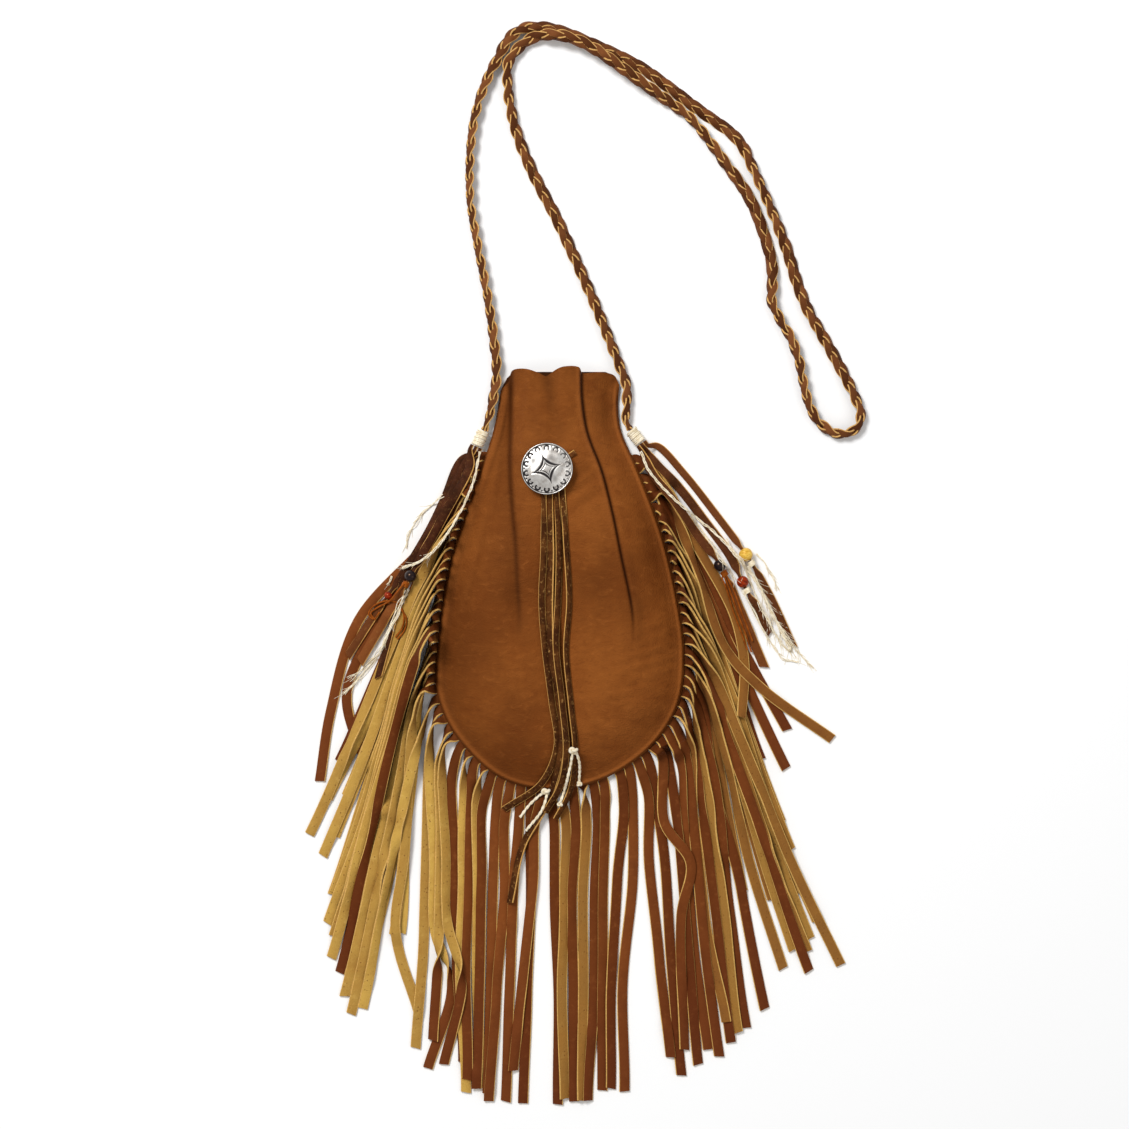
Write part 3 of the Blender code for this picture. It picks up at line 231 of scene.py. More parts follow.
# Loose strands of sinew beside the main ones
LEFT_FIBRES = (
    ((444, 496), (437, 500), (420, 516), (411, 530), (405, 548)),
    ((409, 589), (396, 618), (382, 650), (364, 672), (352, 685), (344, 693)),
    ((407, 591), (392, 622), (379, 652), (362, 670), (349, 680)),
    ((392, 576), (388, 585)),
)
RIGHT_FIBRES = (
    ((690, 515), (705, 535), (719, 557), (735, 580)),
    ((724, 540), (741, 562), (752, 584), (762, 610), (778, 640), (788, 652)),
    ((742, 590), (752, 610), (765, 634), (780, 655), (797, 662)),
    ((756, 554), (766, 566), (774, 580), (778, 590)),
    ((748, 566), (760, 592), (776, 622), (796, 650), (812, 668)),
)
# Width of each tassel thong as a share of the CAD's, and its tone above and below its bead
LEFT_LOOKS = ((0.80, 0.0, 0.45), (0.66, 0.0, 0.05), (0.90, 0.0, 0.90))
RIGHT_LOOKS = ((0.74, 0.55, 0.25), (0.90, 0.20, 0.20), (0.90, 0.25, 0.65))
SINEWS = {
    "left_sinew": ((480, 452), (474, 482), (459, 516), (437, 549), (420, 562), (403, 568)),
    "right_sinew": ((640, 452), (649, 472), (673, 499), (700, 521), (719, 537), (739, 560),
                    (757, 583), (773, 615), (790, 650)),
}

# Roll of a strip at lengths along it: of one that shows its flesh side and of one that doesn't
ROLL_LENGTHS = (0.0, 0.0025, 0.006, 0.012, 0.022, 0.034, 0.048)
FLESH_DEGREES = (0, 40, 74, 90, 106, 134, 178)
GRAIN_DEGREES = (0, 36, 60, 58, 42, 20, 5)
TURN_OVER = (0.62, 0.82)

CELL = 0.0004
FLOOR_GAP = 0.0001


# Places and courses

def spot(x, y):
    """A point of the drawing, in metres."""
    return (
        (x - DRAWN_ORIGIN[0]) * POUCH_WIDTH / DRAWN_WIDTH,
        (DRAWN_ORIGIN[1] - y) * POUCH_HEIGHT / DRAWN_HEIGHT,
    )


def smooth_step(value):
    value = np.clip(value, 0.0, 1.0)
    return value * value * (3 - 2 * value)


def smooth_route(points, step):
    """A smooth curve through the points, with a point every step or a little less."""
    points = np.array(points, float)
    ends = (2 * points[0] - points[1], 2 * points[-1] - points[-2])
    padded = np.vstack((ends[0], points, ends[1]))
    curve = []
    for i in range(1, len(padded) - 2):
        p0, p1, p2, p3 = padded[i - 1:i + 3]
        t0, t1, t2, t3 = 0.0, *np.cumsum([
            math.sqrt(max(np.linalg.norm(b - a), 1e-9)) for a, b in ((p0, p1), (p1, p2), (p2, p3))
        ])
        t = np.linspace(t1, t2, 40, endpoint=False)[:, None]
        a1 = (t1 - t) / (t1 - t0) * p0 + (t - t0) / (t1 - t0) * p1
        a2 = (t2 - t) / (t2 - t1) * p1 + (t - t1) / (t2 - t1) * p2
        a3 = (t3 - t) / (t3 - t2) * p2 + (t - t2) / (t3 - t2) * p3
        b1 = (t2 - t) / (t2 - t0) * a1 + (t - t0) / (t2 - t0) * a2
        b2 = (t3 - t) / (t3 - t1) * a2 + (t - t1) / (t3 - t1) * a3
        curve.append((t2 - t) / (t2 - t1) * b1 + (t - t1) / (t2 - t1) * b2)
    curve = np.vstack(curve + [points[-1:]])
    total = lengths_along(curve)[-1]
    return at_lengths(curve, np.linspace(0, total, max(2, math.ceil(total / step) + 1)))


def lengths_along(curve):
    return np.concatenate(([0.0], np.cumsum(np.linalg.norm(np.diff(curve, axis=0), axis=1))))


def at_lengths(curve, wanted):
    along = lengths_along(curve)
    return np.stack([np.interp(wanted, along, curve[:, k]) for k in range(curve.shape[1])], axis=1)


def unit(vectors):
    return vectors / np.linalg.norm(vectors, axis=-1, keepdims=True)


def headings(route):
    return unit(np.gradient(route, axis=0))


def wander(count, reach, size, seed):
    """Smooth random values along a course, about size each way."""
    points = max(3, int(count / reach) + 2)
    values = np.random.default_rng(seed).normal(0, 1, points)
    place = np.linspace(0, points - 1, count)
    low = np.clip(place.astype(int), 0, points - 2)
    share = smooth_step(place - low)
    return size * (values[low] * (1 - share) + values[low + 1] * share)


class Heights:
    """The highest surface so far over each cell of the floor."""

    def __init__(self):
        self.low = np.array(spot(240, 1180))
        size = np.array(spot(920, 0)) - self.low
        self.shape = np.ceil(size / CELL).astype(int)
        self.top = np.full(self.shape, FLOOR_GAP)

    def cells(self, x, y):
        column = np.clip(((x - self.low[0]) / CELL).astype(int), 1, self.shape[0] - 2)
        row = np.clip(((y - self.low[1]) / CELL).astype(int), 1, self.shape[1] - 2)
        return column, row

    def under(self, x, y):
        return self.top[self.cells(x, y)]

    def cover(self, x, y, z):
        column, row = self.cells(np.ravel(x), np.ravel(y))
        np.maximum.at(self.top, (column, row), np.ravel(z))

    def around(self, x, y):
        """How high the surfaces within a few cells stand on average."""
        column, row = self.cells(x, y)
        column, row = np.clip(column, 8, self.shape[0] - 9), np.clip(row, 8, self.shape[1] - 9)
        total = 0.0
        for i, j in ((0, 0), (5, 0), (-5, 0), (0, 5), (0, -5), (4, 4), (-4, 4), (4, -4), (-4, -4)):
            total = total + self.top[column + i, row + j]
        return total / 9


HEIGHTS = Heights()
SEAM_CURVE = smooth_route([spot(*p) for p in SEAM], 0.0010)
SEAM_LENGTHS = lengths_along(SEAM_CURVE)


def seam_length_at(x, y):
    return SEAM_LENGTHS[np.argmin(np.linalg.norm(SEAM_CURVE - np.array(spot(x, y)), axis=1))]


def on_seam(length):
    """The seam's point and its outward direction."""
    point = at_lengths(SEAM_CURVE, [length])[0]
    ahead = at_lengths(SEAM_CURVE, [min(length + 0.002, SEAM_LENGTHS[-1])])[0]
    behind = at_lengths(SEAM_CURVE, [max(length - 0.002, 0.0)])[0]
    along = unit(ahead - behind)
    return point, np.array((along[1], -along[0]))


def from_seam(points):
    """Distance of each point to the seam."""
    near = np.full(points.shape[:-1], 1.0)
    for a, b in zip(SEAM_CURVE[:-1:2], SEAM_CURVE[2::2]):
        edge = b - a
        share = np.clip(((points - a) @ edge) / (edge @ edge), 0, 1)
        near = np.minimum(near, np.linalg.norm(points - a - share[..., None] * edge, axis=-1))
    return near


# Shaders

class Value:
    """A shader's number or colour, with the Python operators that are used here."""

    def __init__(self, finish, socket):
        self.finish = finish
        self.socket = socket

    def math(self, operation, first, second=None):
        values = {0: first} if second is None else {0: first, 1: second}
        return self.finish.node("ShaderNodeMath", {"operation": operation}, values)

    def __add__(self, other):
        return self.math("ADD", self, other)

    def __radd__(self, other):
        return self.math("ADD", other, self)

    def __rsub__(self, other):
        return self.math("SUBTRACT", other, self)

    def __mul__(self, other):
        return self.math("MULTIPLY", self, other)

    def between(self, low, high):
        """0 at low and 1 at high, with a soft start and end."""
        settings = {"interpolation_type": "SMOOTHSTEP"}
        values = {"Value": self, "From Min": low, "From Max": high}
        return self.finish.node("ShaderNodeMapRange", settings, values)


class Finish:
    """One procedural material."""

    def __init__(self, name):
        self.material = bpy.data.materials.new(name)
        self.material.use_nodes = True
        self.tree = self.material.node_tree
        self.shader = self.tree.nodes["Principled BSDF"]

    def node(self, kind, settings=None, values=None, output=0):
        """Add a node, with its settings first, then its sockets' values or links."""
        node = self.tree.nodes.new(kind)
        for key, value in (settings or {}).items():
            setattr(node, key, value)
        for key, value in (values or {}).items():
            self.feed(node.inputs[key], value)
        return Value(self, node.outputs[output])

    def feed(self, socket, value):
        if isinstance(value, Value):
            self.tree.links.new(value.socket, socket)
        elif isinstance(value, tuple) and len(value) == 3 and socket.type == "RGBA":
            socket.default_value = (*value, 1)
        else:
            socket.default_value = value

    def set(self, **values):
        """Feed the Principled shader: base_color=..., roughness=... and so on."""
        for key, value in values.items():
            self.feed(self.shader.inputs[key.replace("_", " ").title().replace("Ior", "IOR")], value)
        return self

    def place(self, stretch=(1, 1, 1)):
        """The object's own coordinates, stretched."""
        where = self.node("ShaderNodeTexCoord", output=3)
        return self.node("ShaderNodeMapping", None, {"Vector": where, "Scale": stretch})

    def noise(self, scale, detail=3.0, rough=0.55, stretch=(1, 1, 1), twist=0.0):
        values = {"Vector": self.place(stretch), "Scale": scale, "Detail": detail, "Roughness": rough,
                  "Distortion": twist}
        return self.node("ShaderNodeTexNoise", None, values)

    def cells(self, scale, feature="F1", stretch=(1, 1, 1)):
        values = {"Vector": self.place(stretch), "Scale": scale}
        return self.node("ShaderNodeTexVoronoi", {"feature": feature}, values)

    def made(self, name):
        """A value that the mesh carries for each of its points."""
        return self.node("ShaderNodeAttribute", {"attribute_name": name}, output=2)

    def mix(self, share, first, second, blend="MIX"):
        node = self.tree.nodes.new("ShaderNodeMix")
        node.data_type = "RGBA"
        node.blend_type = blend
        for index, value in ((0, share), (6, first), (7, second)):
            self.feed(node.inputs[index], value)
        return Value(self, node.outputs[2])

    def relief(self, height, depth, strength=1.0):
        values = {"Height": height, "Distance": depth, "Strength": strength}
        self.feed(self.shader.inputs["Normal"], self.node("ShaderNodeBump", None, values))
        return self


def tint(red, green, blue):
    """A colour from its 0 to 255 values on a screen."""
    return tuple(((c / 255 + 0.055) / 1.055) ** 2.4 if c > 10 else c / 255 / 12.92
                 for c in (red, green, blue))


WARM_SHEEN = tint(235, 170, 110)


def pouch_leather():
    f = Finish("pouch_leather")
    cloud = f.noise(14, 4, 0.6)
    patch = f.noise(60, 5, 0.65)
    pores = f.cells(1500)
    streak = f.noise(240, 4, 0.7, stretch=(0.55, 1.25, 1), twist=0.8)
    base = f.mix(cloud.between(0.30, 0.72), tint(98, 50, 17), tint(138, 78, 31))
    base = f.mix(patch.between(0.35, 0.75) * 0.45, base, tint(98, 46, 14))
    base = f.mix(streak.between(0.52, 0.80) * 0.35, base, tint(160, 94, 42))
    base = f.mix(streak.between(0.48, 0.25) * 0.35, base, tint(88, 40, 12))
    # painted shade: darker colour in the folds, wrinkles and dip, along the seam and over the left side
    base = f.mix(f.made("painted_shade"), base, tint(44, 16, 4))
    base = f.mix(f.made("worn") * 0.5, base, tint(158, 92, 42))
    f.set(base_color=base, roughness=0.55 + patch * 0.16, specular_ior_level=0.22, specular_tint=WARM_SHEEN)
    grain = f.noise(900, 4, 0.7)
    return f.relief(pores * 0.5 + grain * 0.5 + streak * 1.5, 0.00040)


def strip_grain():
    """The smooth side of the fringe strips."""
    f = Finish("fringe_grain_side")
    patch = f.noise(70, 4, 0.6)
    mottle = f.noise(300, 4, 0.65)
    base = f.mix(f.made("tone"), tint(90, 42, 17), tint(120, 64, 28))
    base = f.mix(patch.between(0.4, 0.8) * 0.4, base, tint(80, 38, 16))
    base = f.mix(mottle.between(0.5, 0.8) * 0.4, base, tint(140, 82, 40))
    base = f.mix(f.made("near_tip") * 0.45, base, tint(86, 38, 20))
    # painted shade near the seam, where the strips stand on edge
    base = f.mix(f.made("root_shade") * 0.45, base, tint(74, 34, 12))
    # painted shade where a strip lies under others
    base = f.mix(f.made("pile_shade").between(0.15, 1.0) * 0.7, base, tint(34, 14, 5))
    f.set(base_color=base, roughness=0.55 + patch * 0.15, specular_ior_level=0.22, specular_tint=WARM_SHEEN)
    return f.relief(f.noise(900, 4, 0.7) + f.noise(180, 3), 0.00020)


def strip_suede():
    """The napped flesh side of the fringe strips: painted shade makes it darker and browner where it leaves
    the seam.
    """
    f = Finish("fringe_flesh_side")
    nap = f.noise(1400, 4, 0.75)
    patch = f.noise(55, 5, 0.65)
    mottle = f.noise(210, 4, 0.7)
    specks = (1 - f.cells(420).between(0.10, 0.22)) * mottle.between(0.40, 0.54)
    base = f.mix(f.made("tone"), tint(124, 76, 34), tint(208, 168, 80))
    base = f.mix(patch.between(0.35, 0.75) * 0.45, base, tint(152, 102, 42))
    base = f.mix(mottle.between(0.52, 0.8) * 0.5 * f.made("tone"), base, tint(228, 192, 110))
    base = f.mix(nap.between(0.3, 0.8) * 0.25 * f.made("tone"), base, tint(224, 186, 104))
    base = f.mix(specks * 0.8, base, tint(104, 62, 26))
    # painted shade near the seam, where the strips stand on edge
    base = f.mix(f.made("root_shade") * 0.8, base, tint(112, 66, 28))
    # painted shade where a strip lies under others
    base = f.mix(f.made("pile_shade").between(0.1, 1.0) * 0.75, base, tint(58, 28, 10))
    f.set(base_color=base, roughness=0.92, specular_ior_level=0.08)
    return f.relief(nap + f.noise(300, 3), 0.00040)


def shaded_inner_side():
    """The rough inner side of the pouch's leather, coloured near-black as painted shade inside the pouch."""
    f = Finish("pouch_inner_side_shade")
    nap = f.noise(1100, 4, 0.75)
    patch = f.noise(80, 4, 0.6)
    # painted shade: very dark browns for the inside seen through the mouth
    base = f.mix(patch.between(0.35, 0.7), tint(46, 22, 8), tint(72, 38, 16))
    base = f.mix(nap.between(0.4, 0.8) * 0.3, base, tint(96, 56, 26))
    f.set(base_color=base, roughness=0.95, specular_ior_level=0.05)
    return f.relief(nap, 0.0003)


def cut_edge(name="cut_edge", colour=(236, 192, 104), pile_shaded=False):
    """Where a strip was cut: the pale middle of the leather."""
    f = Finish(name)
    fibre = f.noise(1200, 3, 0.7)
    base = f.mix(fibre.between(0.3, 0.75), tint(*(int(c * 0.80) for c in colour)), tint(*colour))
    # painted shade on edges that lie under other strips
    if pile_shaded:
        base = f.mix(f.made("pile_shade").between(0.1, 1.0) * 0.8, base, tint(70, 36, 14))
    f.set(base_color=base, roughness=0.9, specular_ior_level=0.08)
    return f.relief(fibre, 0.00015)


def braid_leather():
    f = Finish("strap_leather")
    patch = f.noise(90, 4, 0.6)
    base = f.mix(f.made("tone"), tint(72, 38, 19), tint(118, 70, 38))
    base = f.mix(patch.between(0.35, 0.7) * 0.5, base, tint(78, 40, 20))
    f.set(base_color=base, roughness=0.55 + patch * 0.18, specular_ior_level=0.22, specular_tint=WARM_SHEEN)
    return f.relief(f.noise(900, 4, 0.7) + f.noise(240, 3), 0.00022)


def thong_leather(name, dark, light, speck, worn=(124, 70, 34)):
    f = Finish(name)
    patch = f.noise(110, 4, 0.65)
    rough = f.noise(520, 4, 0.75)
    base = f.mix(patch.between(0.35, 0.7), tint(*dark), tint(*light))
    base = f.mix(f.made("tone"), base, tint(*worn))
    base = f.mix(rough.between(0.55, 0.70) * speck, base, tint(196, 148, 84))
    f.set(base_color=base, roughness=0.6 + patch * 0.2, specular_ior_level=0.12, specular_tint=WARM_SHEEN)
    return f.relief(f.noise(800, 4, 0.7) + rough * 1.5, 0.00030)


def sinew_fibre():
    f = Finish("sinew")
    fibre = f.noise(500, 4, 0.7)
    base = f.mix(fibre.between(0.3, 0.75), tint(218, 200, 164), tint(252, 245, 226))
    f.set(base_color=base, roughness=0.75, specular_ior_level=0.3)
    return f.relief(fibre, 0.00015)


def lace_leather():
    f = Finish("lace_leather")
    patch = f.noise(260, 3, 0.6)
    base = f.mix(patch.between(0.3, 0.7), tint(116, 54, 10), tint(154, 80, 24))
    f.set(base_color=base, roughness=0.5 + patch * 0.2, specular_ior_level=0.2, specular_tint=WARM_SHEEN)
    return f.relief(f.noise(700, 3), 0.0002)


def bead_finish(name, dark, light, rough):
    f = Finish(name)
    rings = f.noise(380, 4, 0.6, stretch=(1, 2.6, 1), twist=0.8)
    base = f.mix(rings.between(0.35, 0.65), tint(*dark), tint(*light))
    f.set(base_color=base, roughness=rough + rings * 0.08, specular_ior_level=0.35, specular_tint=WARM_SHEEN,
          coat_weight=0.12, coat_roughness=0.12)
    return f.relief(rings, 0.00005)


def concho_silver():
    """Stamped silver with dark tarnish left in its marks."""
    f = Finish("concho_silver")
    dull = f.noise(320, 4, 0.6)
    scratch = f.noise(700, 3, 0.6, stretch=(1, 6, 1))
    tarnish = f.made("tarnish")
    base = f.mix(dull.between(0.35, 0.7) * 0.5, tint(244, 240, 234), tint(150, 132, 116))
    base = f.mix(tarnish.between(0.1, 0.75), base, tint(30, 24, 26))
    f.set(base_color=base, roughness=0.20 + dull * 0.12 + tarnish * 0.4, metallic=1 - tarnish * 0.5)
    return f.relief(dull + scratch * 0.4, 0.00006)


def floor_finish():
    f = Finish("floor_white")
    fade = f.noise(3, 2)
    base = f.mix(fade * 0.1, tint(243, 243, 243), tint(241, 241, 241))
    f.set(base_color=base, roughness=0.9, specular_ior_level=0.0)
    return f


# Meshes

def make_piece(name, verts, faces, finishes, face_finishes=None, values=None, sharp=38, replaces=None):
    """Make a piece of the bag from its points and faces, and put it on the bag."""
    mesh = bpy.data.meshes.new(name)
    mesh.from_pydata([tuple(v) for v in verts], [], [tuple(int(i) for i in face) for face in faces])
    for finish in finishes:
        mesh.materials.append(finish.material)
    if face_finishes is not None:
        mesh.polygons.foreach_set("material_index", np.array(face_finishes, dtype=np.int32))
    for key, numbers in (values or {}).items():
        layer = mesh.attributes.new(key, "FLOAT", "POINT")
        layer.data.foreach_set("value", np.array(numbers, dtype=np.float32))
    mesh.update()
    mesh.shade_smooth()
    if sharp:
        mesh.set_sharp_from_angle(angle=math.radians(sharp))
    piece = bpy.data.objects.new(name, mesh)
    bpy.context.scene.collection.objects.link(piece)
    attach(piece, "root")
    if replaces:
        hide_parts(replaces)
    return piece


RIBBON = 10    # points round a ribbon


def ribbon(centres, across, normal, width, thick, cup=0.0, slant=0.0, bevel=BEVEL):
    """Sections of ten points: along the grain side, round a bevelled cut, and back along the flesh side."""
    width = np.broadcast_to(np.asarray(width, float), (len(centres),))[:, None]
    shift = np.zeros(len(centres))
    shift[-1] = slant
    ahead = unit(np.gradient(centres, axis=0))
    low = thick * 0.5 - bevel * 0.8
    section = ((-1, 1, 0.5), (0, 0, 0.5), (1, 1, 0.5), (1, 0, low / thick), (1, 0, -low / thick),
               (1, 1, -0.5), (0, 0, -0.5), (-1, 1, -0.5), (-1, 0, -low / thick), (-1, 0, low / thick))
    rings = []
    for edge, inward, face in section:
        part = edge * (width / 2 - inward * bevel)
        bow = cup * (1 - abs(edge))
        level = centres + across * part + normal * (face * thick + bow)
        rings.append(level + ahead * (shift * edge / 2)[:, None])
    rings = np.stack(rings, axis=1)
    rings[..., 2] = np.maximum(rings[..., 2], FLOOR_GAP)    # the surface presses it flat
    return rings


# Finish of a ribbon's ten sides, from the grain round to it again: 0 grain, 1 flesh, 2 cut
STRIP_SIDES = (0, 0, 0, 2, 2, 1, 1, 2, 2, 2)
STRAND_SIDES = (0, 0, 2, 2, 2, 1, 1, 2, 2, 0)


def ribbon_faces(count, start, finish_of):
    """Faces round and at both ends of a ribbon, with the finish of each."""
    faces, finishes = [], []
    for i in range(count - 1):
        a, b = start + RIBBON * i, start + RIBBON * (i + 1)
        for k in range(RIBBON):
            j = (k + 1) % RIBBON
            faces.append((a + k, a + j, b + j, b + k))
            finishes.append(finish_of[k])
    faces.append(tuple(start + k for k in reversed(range(RIBBON))))
    faces.append(tuple(start + RIBBON * (count - 1) + k for k in range(RIBBON)))
    finishes += [2, 2]
    return faces, finishes


def make_ribbons(name, ribbons, tones, finishes, replaces, sides=STRIP_SIDES, values=None):
    """One piece of several ribbons, with a tone for each and more values for their points."""
    verts, faces, zones, tone_of = [], [], [], []
    start = 0
    for rings, tone in zip(ribbons, tones):
        more, kinds = ribbon_faces(len(rings), start, sides)
        verts.append(rings.reshape(-1, 3))
        faces += more
        zones += kinds
        tone_of.append(np.repeat(np.broadcast_to(tone, (len(rings),)), RIBBON))
        start += rings.shape[0] * RIBBON
    verts = np.vstack(verts)
    values = {"tone": np.concatenate(tone_of), **(values or {})}
    return make_piece(name, verts, faces, finishes, zones, values, 50, replaces)


def tube(points, radius, sides=8):
    """Points and faces of a closed round tube along a course."""
    points = np.array(points)
    radius = np.broadcast_to(np.asarray(radius, float), (len(points),))
    ahead = headings(points)
    side = np.cross(ahead, (0, 0, 1.0))
    weak = np.linalg.norm(side, axis=1) < 1e-4
    side[weak] = (1, 0, 0)
    side = unit(side)
    up = np.cross(side, ahead)
    angles = 2 * math.pi * np.arange(sides) / sides
    rings = points[:, None] + radius[:, None, None] * (
        side[:, None] * np.cos(angles)[None, :, None] + up[:, None] * np.sin(angles)[None, :, None])
    faces = []
    for i in range(len(points) - 1):
        for k in range(sides):
            j = (k + 1) % sides
            faces.append((i * sides + k, i * sides + j, (i + 1) * sides + j, (i + 1) * sides + k))
    faces.append(tuple(reversed(range(sides))))
    last = (len(points) - 1) * sides
    faces.append(tuple(last + k for k in range(sides)))
    return rings.reshape(-1, 3), faces


def join_parts(parts):
    """Several sets of points and faces as one."""
    verts, faces, start = [], [], 0
    for points, more in parts:
        verts.append(points)
        faces += [tuple(i + start for i in face) for face in more]
        start += len(points)
    return np.vstack(verts), faces


def lathe(profile, sides):
    """Points and faces of a closed ring profile turned about Z."""
    angles = 2 * math.pi * np.arange(sides) / sides
    profile = np.array(profile)
    verts = np.stack((np.outer(np.cos(angles), profile[:, 0]), np.outer(np.sin(angles), profile[:, 0]),
                      np.tile(profile[:, 1], (sides, 1))), axis=-1)
    count = len(profile)
    faces = []
    for k in range(sides):
        a, b = k * count, (k + 1) % sides * count
        for i in range(count):
            j = (i + 1) % count
            faces.append((a + i, b + i, b + j, a + j))
    return verts.reshape(-1, 3), faces


def aimed(points, centre, axis):
    turn = np.array(Vector(axis).to_track_quat("Z", "Y").to_matrix())
    return points @ turn.T + np.array(centre)


# Lying on what is under

ACROSS = np.linspace(-0.5, 0.5, 13)
STRIP_ACROSS = ACROSS * 0.88    # strips side by side press their edges together
TILTS = np.radians(np.arange(-50, 51, 5))


def sideways(heading, hand):
    return hand * np.stack((heading[:, 1], -heading[:, 0]), axis=1)


def needed_height(route, side, width, roll, thick, gap, across):
    """Lowest height of the middle of a ribbon at which it clears what is under it."""
    worst = np.full(len(route), -1.0)
    part = across[None, :] * width[:, None]
    level, rise = np.cos(roll)[:, None], np.sin(roll)[:, None]
    for face in (-0.5, 0.5):
        shift = part * level - face * thick * rise
        lift = part * rise + face * thick * level
        x = route[:, 0, None] + side[:, 0, None] * shift
        y = route[:, 1, None] + side[:, 1, None] * shift
        worst = np.maximum(worst, (HEIGHTS.under(x, y) + gap - lift).max(axis=1))
    return worst


def blurred(values, reach):
    kernel = np.ones(2 * reach + 1) / (2 * reach + 1)
    return np.convolve(np.pad(values, reach, mode="edge"), kernel, mode="valid")


def widened(values, reach):
    padded = np.pad(values, reach, mode="edge")
    return np.max([padded[i:i + len(values)] for i in range(2 * reach + 1)], axis=0)


def lie(route, hand, width, roll, thick, least=0.0, gap=0.0, tilting=1.0, across=ACROSS):
    """Roll and height of a ribbon along its route, so that it rests on what is under it."""
    side = sideways(headings(route), hand)
    tries = []
    for tilt in TILTS:
        height = needed_height(route, side, width, roll + tilt, thick, gap, across)
        tries.append(height + abs(tilt) * 0.0002)
    tilt = TILTS[np.argmin(tries, axis=0)] * np.abs(np.cos(roll)) ** 2 * tilting
    roll = roll + blurred(blurred(tilt, 4), 3)
    height = needed_height(route, side, width, roll, thick, gap, across)
    height = np.maximum(height, least)
    return roll, blurred(widened(height, 1), 2), side


def frame_of(side, roll):
    """Directions across a ribbon and out of its grain side."""
    across = np.column_stack((side * np.cos(roll)[:, None], np.sin(roll)))
    normal = np.column_stack((-side * np.sin(roll)[:, None], np.cos(roll)))
    return across, normal


def cover_ribbon(centres, across, normal, width, thick):
    """Mark a ribbon's surfaces in the heights."""
    width = np.broadcast_to(np.asarray(width, float), (len(centres),))
    dense = np.linspace(0, len(centres) - 1, len(centres) * 6)
    low = np.clip(dense.astype(int), 0, len(centres) - 2)
    share = (dense - low)[:, None]
    blend = [v[low] * (1 - share) + v[low + 1] * share for v in (centres, across, normal, width[:, None])]
    for part in np.linspace(-0.5, 0.5, 19):
        for face in (-0.5, 0.5):
            points = blend[0] + blend[1] * blend[3] * part + blend[2] * thick * face
            HEIGHTS.cover(points[:, 0], points[:, 1], points[:, 2])


# Camera and strap

def make_camera():
    camera = bpy.data.cameras.new("camera")
    camera.lens = 100
    camera.sensor_width = 36
    camera.clip_end = 20
    eye = bpy.data.objects.new("camera", camera)
    eye.location = (0.0025, 0.0201, 1.775)
    bpy.context.scene.collection.objects.link(eye)
    bpy.context.scene.camera = eye


def strap_course(step):
    """The strap's course, binding to binding, as the CAD's."""
    floor = STRAP_DIAMETER / 2 + 0.00005
    ends = []
    for inner, outer in (LEFT_BINDING, RIGHT_BINDING):
        a, b = (np.array((*spot(*p), BINDING_RADIUS + 0.00005)) for p in (inner, outer))
        out = unit(a - b)
        ends.append((a + out * CLEARANCE, a + out * (CLEARANCE + STRAP_DIAMETER * 0.6)))
    middle = [(*spot(x, y), floor + z) for x, y, z in STRAP_ROUTE]
    route = smooth_route([ends[0][1], *middle, ends[1][1]], 0.001)
    route[:, 2] = np.maximum(route[:, 2], floor)
    route = np.vstack((ends[0][0], route, ends[1][0]))
    total = lengths_along(route)[-1]
    return at_lengths(route, np.linspace(0, total, math.ceil(total / step) + 1))


def strap_rolls(route, along):
    """The braid's roll along its course, from the points of STRAP_ROLLS in turn."""
    places, first = [], 0
    for x, y, _ in STRAP_ROLLS:
        ahead = slice(first, min(first + 160, len(route)))
        first += int(np.argmin(np.linalg.norm(route[ahead, :2] - np.array(spot(x, y)), axis=1)))
        places.append(along[first])
    return np.interp(along, places, [degrees for _, _, degrees in STRAP_ROLLS])


def make_strap(finishes):
    route = strap_course(0.0010)
    along = lengths_along(route)
    total = along[-1]
    ahead = headings(route)
    side = unit(np.cross(ahead, (0, 0, 1.0)))
    up = np.cross(side, ahead)
    roll = blurred(np.radians(strap_rolls(route, along)), 6)[:, None]
    lateral = side * np.cos(roll) + up * np.sin(roll)
    normal = -side * np.sin(roll) + up * np.cos(roll)
    sway = (BRAID_WIDTH - STRAND_WIDTH) / 2
    rise = 0.0010
    on_edge, on_side = np.abs(np.sin(roll[:, 0])), np.abs(np.cos(roll[:, 0]))
    half = on_edge * BRAID_WIDTH / 2 + on_side * (rise + STRAND_THICK / 2)
    ends = smooth_step(np.minimum(along, total - along) / 0.02)
    drop = (STRAP_DIAMETER / 2 - half) * ends
    middle = route.copy()
    middle[:, 2] -= np.maximum(drop, -0.0002)
    ribbons, tones = [], []
    for k in range(3):
        phase = (2 * math.pi * (along / BRAID_PERIOD + k / 3) + wander(len(along), 40, 0.12, 5 + k))[:, None]
        centre = middle + lateral * sway * np.sin(phase) * (0.55 + 0.45 * ends[:, None])
        centre = centre + normal * rise * np.sin(2 * phase)
        run = unit(np.gradient(centre, axis=0))
        lean = normal + lateral * 0.85 * np.sin(phase) * np.abs(np.sin(phase))
        across = unit(np.cross(run, lean))
        out = np.cross(across, run)
        width = STRAND_WIDTH * (0.72 + 0.28 * ends)
        rings = ribbon(centre, across, out, width, STRAND_THICK, 0.0003, bevel=0.00038)
        ribbons.append(rings)
        tones.append((0.0, 0.9, 0.45)[k])
    strap = make_ribbons("strap_braid", ribbons, tones, finishes, "strap", STRAND_SIDES)
    for ring in ribbons:
        HEIGHTS.cover(ring[..., 0], ring[..., 1], ring[..., 2])


# Pouch

PANEL_ROWS = 120
BAND_LOW = LEATHER + CLEARANCE
BAND_HIGH = BAND_LOW + STRIP_LEATHER
RIM = BAND_HIGH + CLEARANCE


def seam_sides(shares):
    bottom = seam_length_at(*SEAM_BOTTOM)
    left = at_lengths(SEAM_CURVE, bottom * (1 - shares))
    right = at_lengths(SEAM_CURVE, bottom + (SEAM_LENGTHS[-1] - bottom) * shares)
    return left, right


